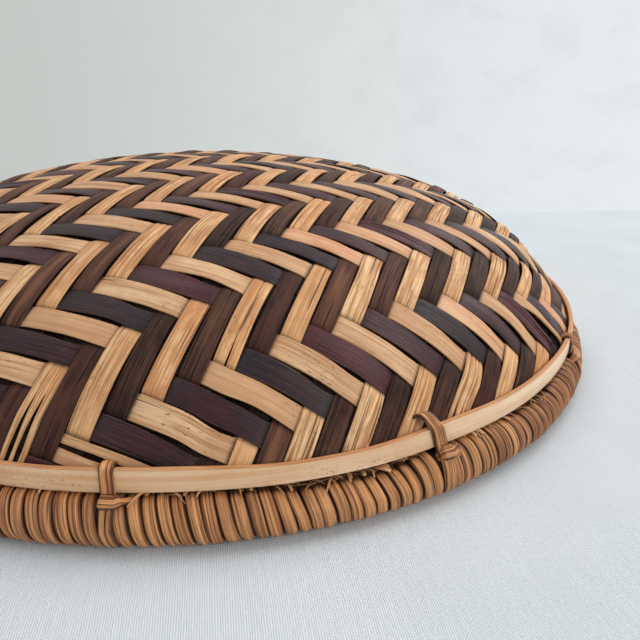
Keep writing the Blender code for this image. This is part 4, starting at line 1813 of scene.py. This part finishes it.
@dataclass
class StrayEnds:
    """Ends of strips and loose fibres that come out between the outer hoop and the lashing."""

    lashing: Lashing
    stubs: int = 11
    fibres: int = 16
    bundle: int = 280  # splinters of the packing, of which those that the cane would hide are left out
    least_dip: float = 0.4 * MILLIMETRE  # in which the packing shows
    dip_share: float = 0.75  # how far the ends lie lower where the cane does
    seed: int = 37

    # Half the thickness of each kind of splinter.
    STUB_HALF = 0.00025
    LOOSE_HALF = 0.00018
    PACKING_HALF = 0.00012
    FIBRE_HALF = 0.00010

    LOOSE = (
        LooseEnd(math.radians(-101.3), math.radians(-104.6), 0.945, 0.870, 0.35),
        LooseEnd(math.radians(-97.0), math.radians(-98.5), 0.935, 0.815, 0.75),
        LooseEnd(math.radians(-91.8), math.radians(-92.6), 0.950, 0.865, 0.70),
        LooseEnd(math.radians(-79.6), math.radians(-81.0), 0.950, 0.815, 0.45),
        LooseEnd(math.radians(-75.6), math.radians(-74.0), 0.965, 0.860, 2.60),
    )

    def build(self, material: bpy.types.Material) -> None:
        """Makes the ends beside each length of cane.

        Args:
            material: Their finish.
        """
        for number in range(self.lashing.ties):
            rng = np.random.default_rng((self.seed, number))
            start = self.lashing.tie_angle(number)
            span = 2 * math.pi / self.lashing.ties
            solid = Solid()
            for _ in range(self.stubs):
                self._stub(solid, start + span * rng.uniform(0.05, 0.95), rng)
            for _ in range(self.fibres):
                self._fibre(solid, start + span * rng.uniform(0.04, 0.96), rng)
            for _ in range(self.bundle):
                self._tangle(solid, start + span * rng.uniform(0.04, 0.96), rng)
            for loose in self.LOOSE:
                if start <= loose.start < start + span:
                    self._loose(solid, loose, rng)
            piece = solid.make(f"stray_ends_{number + 1:02d}", material, crease=50)
            fit(piece, "woven_strips")

    def _stub(self, solid: Solid, angle: float, rng: np.random.Generator) -> None:
        """Adds the cut end of a strip, lying on the turns.

        Args:
            solid: What it is added to.
            angle: Where it comes out from under the hoop.
            rng: Source of its random values.
        """
        steps = np.linspace(0, 1, 6)
        share = 0.955 - steps * rng.uniform(0.055, 0.115)
        drift = rng.uniform(-1.6, 1.6) * MILLIMETRE
        lift = (0.10 + 0.5 * steps * rng.uniform(0.0, 1.0)) * MILLIMETRE
        half = rng.uniform(0.5, 1.7) * MILLIMETRE * (1 - 0.45 * steps)
        course = angle + drift * steps / self.lashing.outline.outer
        self._sliver(solid, course, share, lift, half, self.STUB_HALF, rng)

    def _loose(self, solid: Solid, loose: LooseEnd, rng: np.random.Generator) -> None:
        """Adds one of the longer splinters.

        Args:
            solid: What it is added to.
            loose: The splinter.
            rng: Source of its tone.
        """
        steps = np.linspace(0, 1, 9)
        angle = loose.start + (loose.end - loose.start) * steps
        share = loose.top + (loose.bottom - loose.top) * steps
        lift = (0.3 + 0.9 * np.sin(steps * 2.6)) * MILLIMETRE
        half = loose.half * MILLIMETRE * (1 - 0.6 * steps**2)
        self._sliver(solid, angle, share, lift, half, self.LOOSE_HALF, rng)

    def _tangle(self, solid: Solid, angle: float, rng: np.random.Generator) -> None:
        """Adds one splinter of the packing that fills the rim, if the turns' tops lie low enough to show it.

        Args:
            solid: What it is added to.
            angle: Where it starts.
            rng: Source of its random values.
        """
        if self.lashing.dips.at(np.array([angle]))[0] < self.least_dip:
            return
        steps = np.linspace(0, 1, 8)
        run = rng.uniform(-11, 11) * MILLIMETRE
        share = 0.950 + rng.uniform(-0.030, 0.045) - steps * rng.uniform(-0.030, 0.035)
        lift = (rng.uniform(-1.2, 1.0) + rng.uniform(0.0, 0.9) * np.sin(steps * math.pi)) * MILLIMETRE
        half = rng.uniform(0.18, 0.55) * MILLIMETRE * (1 - 0.5 * steps)
        course = angle + run * steps / self.lashing.outline.outer
        # The packing gets painted shade of a random depth, as it lies in the gap under the hoop.
        self._sliver(solid, course, share, lift, half, self.PACKING_HALF, rng, rng.uniform(0.15, 1.0))

    def _fibre(self, solid: Solid, angle: float, rng: np.random.Generator) -> None:
        """Adds a loose fibre across the turns.

        Args:
            solid: What it is added to.
            angle: Where it starts.
            rng: Source of its random values.
        """
        steps = np.linspace(0, 1, 9)
        run = rng.uniform(-9, 9) * MILLIMETRE
        share = 0.93 - steps * rng.uniform(0.0, 0.11)
        lift = (0.15 + rng.uniform(0.2, 1.6) * np.sin(steps * math.pi)) * MILLIMETRE
        half = rng.uniform(0.10, 0.26) * MILLIMETRE * (1 - 0.5 * steps)
        course = angle + run * steps / self.lashing.outline.outer
        self._sliver(solid, course, share, lift, half, self.FIBRE_HALF, rng)

    def _sliver(self, solid: Solid, angle: Array, share: Array, lift: Array, half: Array, thick: float,
                rng: np.random.Generator, recess: float = 0.0) -> None:
        """Adds a thin flat piece on the rim's outline.

        Args:
            solid: What it is added to.
            angle: Its way round the basket.
            share: Its way round the rim's outline.
            lift: Its height over that outline.
            half: Half its width.
            thick: Half its thickness.
            rng: Source of its tone.
            recess: How much painted shade it gets, from the gap under the hoop.
        """
        place, normal = self.lashing.outline.at(share)
        sunk = self.dip_share * self.lashing.dips.at(angle) * self.lashing.outline.lowered(place)
        points = polar(place[:, 0], angle, place[:, 1] - sunk)
        normals = polar(normal[:, 0], angle, normal[:, 1])
        points = points + normals * lift[:, None]
        way = unit(np.gradient(points, axis=0))
        side = unit(np.cross(way, normals))
        corners = np.array([(-1, 0.3), (-0.6, 1), (0.6, 1), (1, 0.3), (0.6, -1), (-0.6, -1)])
        rings = points[:, None, :] + side[:, None, :] * (half[:, None] * corners[:, 0])[..., None]
        rings = rings + normals[:, None, :] * (thick * corners[:, 1])[:, None]
        reach = half[:, None] * corners[:, 0]
        along = np.linspace(0, 0.01, len(points))[:, None]
        seed = np.full(reach.shape, rng.uniform(0, 900))
        grain = np.stack([np.broadcast_to(along, reach.shape), reach, seed], axis=-1)
        solid.add_tube(rings, grain, np.array([rng.uniform(0, 1), 0.0, 0.2]), recess)


@dataclass(frozen=True)
class SoftLight:
    """One soft light that faces the basket. Its size is width and height, its power is in watts."""

    name: str
    place: Triple
    size: tuple[float, float]
    power: float


@dataclass
class Studio:
    """The cloth-covered table, soft light and the photograph's camera."""

    camera_place: Triple = (0.0, -0.45060, 0.17409)
    pan_right: float = math.radians(9.612)
    look_down: float = math.radians(21.475)
    roll: float = math.radians(0.887)
    lens: float = 36.517
    table_back: float = 0.325
    table_half: float = 2.4
    table_front: float = -2.2
    table_drop: float = 0.5  # how far the cloth hangs down behind the table
    table_bend: float = 0.012
    light_colour: Colour = (1.0, 0.945, 0.875)
    aim: Triple = (0.0, 0.0, 0.05)
    lights: tuple[SoftLight, ...] = (
        SoftLight("window_light", (1.7, 0.8, 2.0), (2.0, 1.6), 38.0),
        SoftLight("top_light", (-0.5, 0.3, 2.2), (1.8, 1.8), 18.0),
        SoftLight("front_light", (1.3, -1.9, 1.3), (1.6, 1.2), 20.0),
    )
    wall_left: Colour = (0.540, 0.567, 0.537)
    wall_right: Colour = (0.805, 0.850, 0.868)
    wall_mottle: Colour = (0.55, 0.60, 0.59)
    ceiling: Colour = (0.34, 0.365, 0.42)

    def build(self, cloth: bpy.types.Material) -> None:
        """Makes the table, the lights, the world and the camera.

        Args:
            cloth: Finish of the table.
        """
        self._table(cloth)
        self._camera()
        self._world()
        for light in self.lights:
            self._light(light)
        bpy.context.scene.view_settings.view_transform = "Standard"

    def _table(self, cloth: bpy.types.Material) -> None:
        """Lays the cloth, which hangs over the table's back edge.

        Args:
            cloth: Its finish.
        """
        radius = self.table_bend
        turn = np.radians(np.linspace(0, 90, 8))
        bend = [(self.table_back + radius * math.sin(a), radius * (math.cos(a) - 1)) for a in turn]
        line = [(self.table_front, 0.0), *bend, (self.table_back + radius, -self.table_drop)]
        points = [(side * self.table_half, y, z) for y, z in line for side in (-1, 1)]
        faces = [(2 * k, 2 * k + 1, 2 * k + 3, 2 * k + 2) for k in range(len(line) - 1)]
        mesh = bpy.data.meshes.new("table_cloth")
        mesh.from_pydata(points, [], faces)
        mesh.materials.append(cloth)
        table = bpy.data.objects.new("table_cloth", mesh)
        bpy.context.scene.collection.objects.link(table)
        table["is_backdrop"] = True

    def _camera(self) -> None:
        """Sets the camera up where the photograph was taken."""
        data = bpy.data.cameras.new("photo_camera")
        data.lens = self.lens
        data.clip_start = 0.01
        camera = bpy.data.objects.new("photo_camera", data)
        bpy.context.scene.collection.objects.link(camera)
        turn = Matrix.Rotation(-self.pan_right, 4, "Z")
        turn @= Matrix.Rotation(math.pi / 2 - self.look_down, 4, "X")
        turn @= Matrix.Rotation(self.roll, 4, "Z")
        camera.matrix_world = Matrix.Translation(self.camera_place) @ turn
        bpy.context.scene.camera = camera

    def _light(self, light: SoftLight) -> None:
        """Hangs one soft light.

        Args:
            light: The light.
        """
        data = bpy.data.lights.new(light.name, "AREA")
        data.shape = "RECTANGLE"
        data.size, data.size_y = light.size
        data.energy = light.power
        data.color = self.light_colour
        lamp = bpy.data.objects.new(light.name, data)
        bpy.context.scene.collection.objects.link(lamp)
        lamp.location = light.place
        lamp.rotation_euler = (Vector(self.aim) - Vector(light.place)).to_track_quat("-Z", "Y").to_euler()

    def _world(self) -> None:
        """Gives the room a pale, faintly mottled wall, brighter on the right, and a dimmer ceiling."""
        world = bpy.data.worlds.new("pale_room")
        world.use_nodes = True
        bpy.context.scene.world = world
        graph = Graph(world, "Background")
        way = graph.node("ShaderNodeTexCoord", {}, {}, "Generated")
        aside, _, up = graph.parts(way)
        mottle = graph.noise(way, (13, 13, 19), 6, 0.62)
        colour = graph.mix(aside.between(-0.42, 0.62), self.wall_left, self.wall_right)
        colour = graph.mix(mottle.between(0.40, 0.78) * 0.30, colour, self.wall_mottle)
        colour = graph.mix(up.between(0.30, 0.80), colour, self.ceiling)
        graph.feed(graph.end, {"Color": colour, "Strength": 1.0})


def strip_finishes() -> dict[tuple[StripWay, bool], bpy.types.Material]:
    """Makes the four finishes of the strips.

    Returns:
        The materials, by way and whether the strip is undyed.
    """
    steep_light = StripFinish(
        "undyed_coarse_strip",
        body=(0.77, 0.43, 0.200), pale=(0.94, 0.65, 0.37), streak=(0.40, 0.170, 0.064),
        crack=(0.13, 0.050, 0.022), blush=(0.68, 0.29, 0.12), edge=(0.62, 0.34, 0.15),
        roughness=0.55, streaks=0.95, cracks=0.035, specks=0.85, relief=0.0009, sheen=0.22,
        wear_and_sheen=0.5, painted_sheen=(0.76, 0.49, 0.25),
    )
    shallow_light = StripFinish(
        "undyed_smooth_strip",
        body=(0.56, 0.315, 0.160), pale=(0.73, 0.48, 0.275), streak=(0.38, 0.175, 0.070),
        crack=(0.13, 0.050, 0.022), blush=(0.76, 0.33, 0.19), edge=(0.52, 0.28, 0.12),
        roughness=0.48, streaks=0.62, cracks=-0.01, specks=0.9, relief=0.0004, sheen=0.28,
        wear_and_sheen=0.4, painted_sheen=(0.77, 0.53, 0.30),
    )
    steep_dark = StripFinish(
        "dyed_coarse_strip",
        body=(0.0150, 0.0078, 0.0072), pale=(0.042, 0.0180, 0.0145), streak=(0.140, 0.064, 0.040),
        crack=(0.008, 0.005, 0.005), blush=(0.060, 0.019, 0.016), edge=(0.05, 0.026, 0.019),
        roughness=0.50, streaks=0.62, cracks=0.04, specks=0.0, relief=0.0009, sheen=0.09,
        wear_and_sheen=0.75, painted_sheen=(0.230, 0.105, 0.056),
    )
    shallow_dark = StripFinish(
        "dyed_smooth_strip",
        body=(0.0125, 0.0085, 0.0115), pale=(0.040, 0.0105, 0.0135), streak=(0.060, 0.022, 0.024),
        crack=(0.008, 0.005, 0.005), blush=(0.090, 0.0090, 0.0150), edge=(0.085, 0.042, 0.03),
        roughness=0.35, streaks=0.55, cracks=0.01, specks=0.0, relief=0.0007, sheen=0.25,
        wear_and_sheen=0.60, painted_sheen=(0.100, 0.052, 0.056),
    )
    return {
        (StripWay.STEEP, True): steep_light.build(),
        (StripWay.SHALLOW, True): shallow_light.build(),
        (StripWay.STEEP, False): steep_dark.build(),
        (StripWay.SHALLOW, False): shallow_dark.build(),
    }


def corners(box: tuple[Vector, Vector]) -> list[list[float]]:
    """A box's two corners as plain lists."""
    return [list(corner) for corner in box]


def main() -> None:
    """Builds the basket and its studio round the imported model."""
    logging.basicConfig(level=logging.INFO, format="%(message)s")
    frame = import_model()
    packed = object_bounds()
    dome = DomeShape.packed()
    net = WeaveNet(dome)
    finishes = strip_finishes()
    count = WovenMat(dome, net).build(finishes)
    logging.info("mat: %d strips", count)
    bamboo = BambooFinish(
        "bamboo_skin", skin=(0.88, 0.66, 0.445), shade=(0.66, 0.335, 0.145), cut=(0.42, 0.155, 0.050),
        fleck=(0.07, 0.028, 0.014)).build()
    outer_hoop = BentHoop(
        frame["nodes"]["outer_hoop"], lap_at=math.radians(90), skin_outside=True, sags=HOOP_SAGS)
    inner_hoop = BentHoop(
        frame["nodes"]["inner_hoop"], lap_at=math.radians(200), skin_outside=False, seed=6)
    for hoop in (outer_hoop, inner_hoop):
        logging.info("hoop: %s", hoop.build(bamboo).name)
    cane = CaneFinish(
        "golden_cane", groove=(0.050, 0.015, 0.006), dark=(0.125, 0.040, 0.014), middle=(0.39, 0.148, 0.052),
        light=(0.74, 0.345, 0.135), roughness=0.38).build()
    rim = RimOutline(outer=(packed[1].x - packed[0].x) / 2, height=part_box("rim_lashing_01")[1].z)
    # The rods' colours are kept dark so that what shows of them under the hoop is painted shade.
    rod = RodFinish("split_rod", body=(0.090, 0.042, 0.020), streak=(0.025, 0.011, 0.006)).build()
    for node, outside, butt_at in (("outer_rim_hoop", True, 60), ("inner_rim_hoop", False, 150)):
        SplitRod(frame["nodes"][node], rim, outside, math.radians(butt_at), RIM_DIPS).build(rod)
        logging.info("rod: %s", node)
    lashing = Lashing(rim)
    lashing.build(cane)
    logging.info("lashing: %d lengths of cane", lashing.ties)
    hoop_low, hoop_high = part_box("outer_hoop")
    hoop_radius = (hoop_high.x - hoop_low.x) / 2
    for number in range(lashing.ties):
        Tie(lashing, number, hoop_radius, hoop_high.z).build(cane)
    logging.info("ties: %d", lashing.ties)
    StrayEnds(lashing).build(finishes[StripWay.STEEP, True])
    logging.info("stray ends of strips")
    cloth = ClothFinish("table_cloth", body=(0.66, 0.715, 0.755), shade=(0.59, 0.645, 0.685)).build()
    Studio().build(cloth)
    logging.info("studio")


if __name__ == "__main__":
    main()
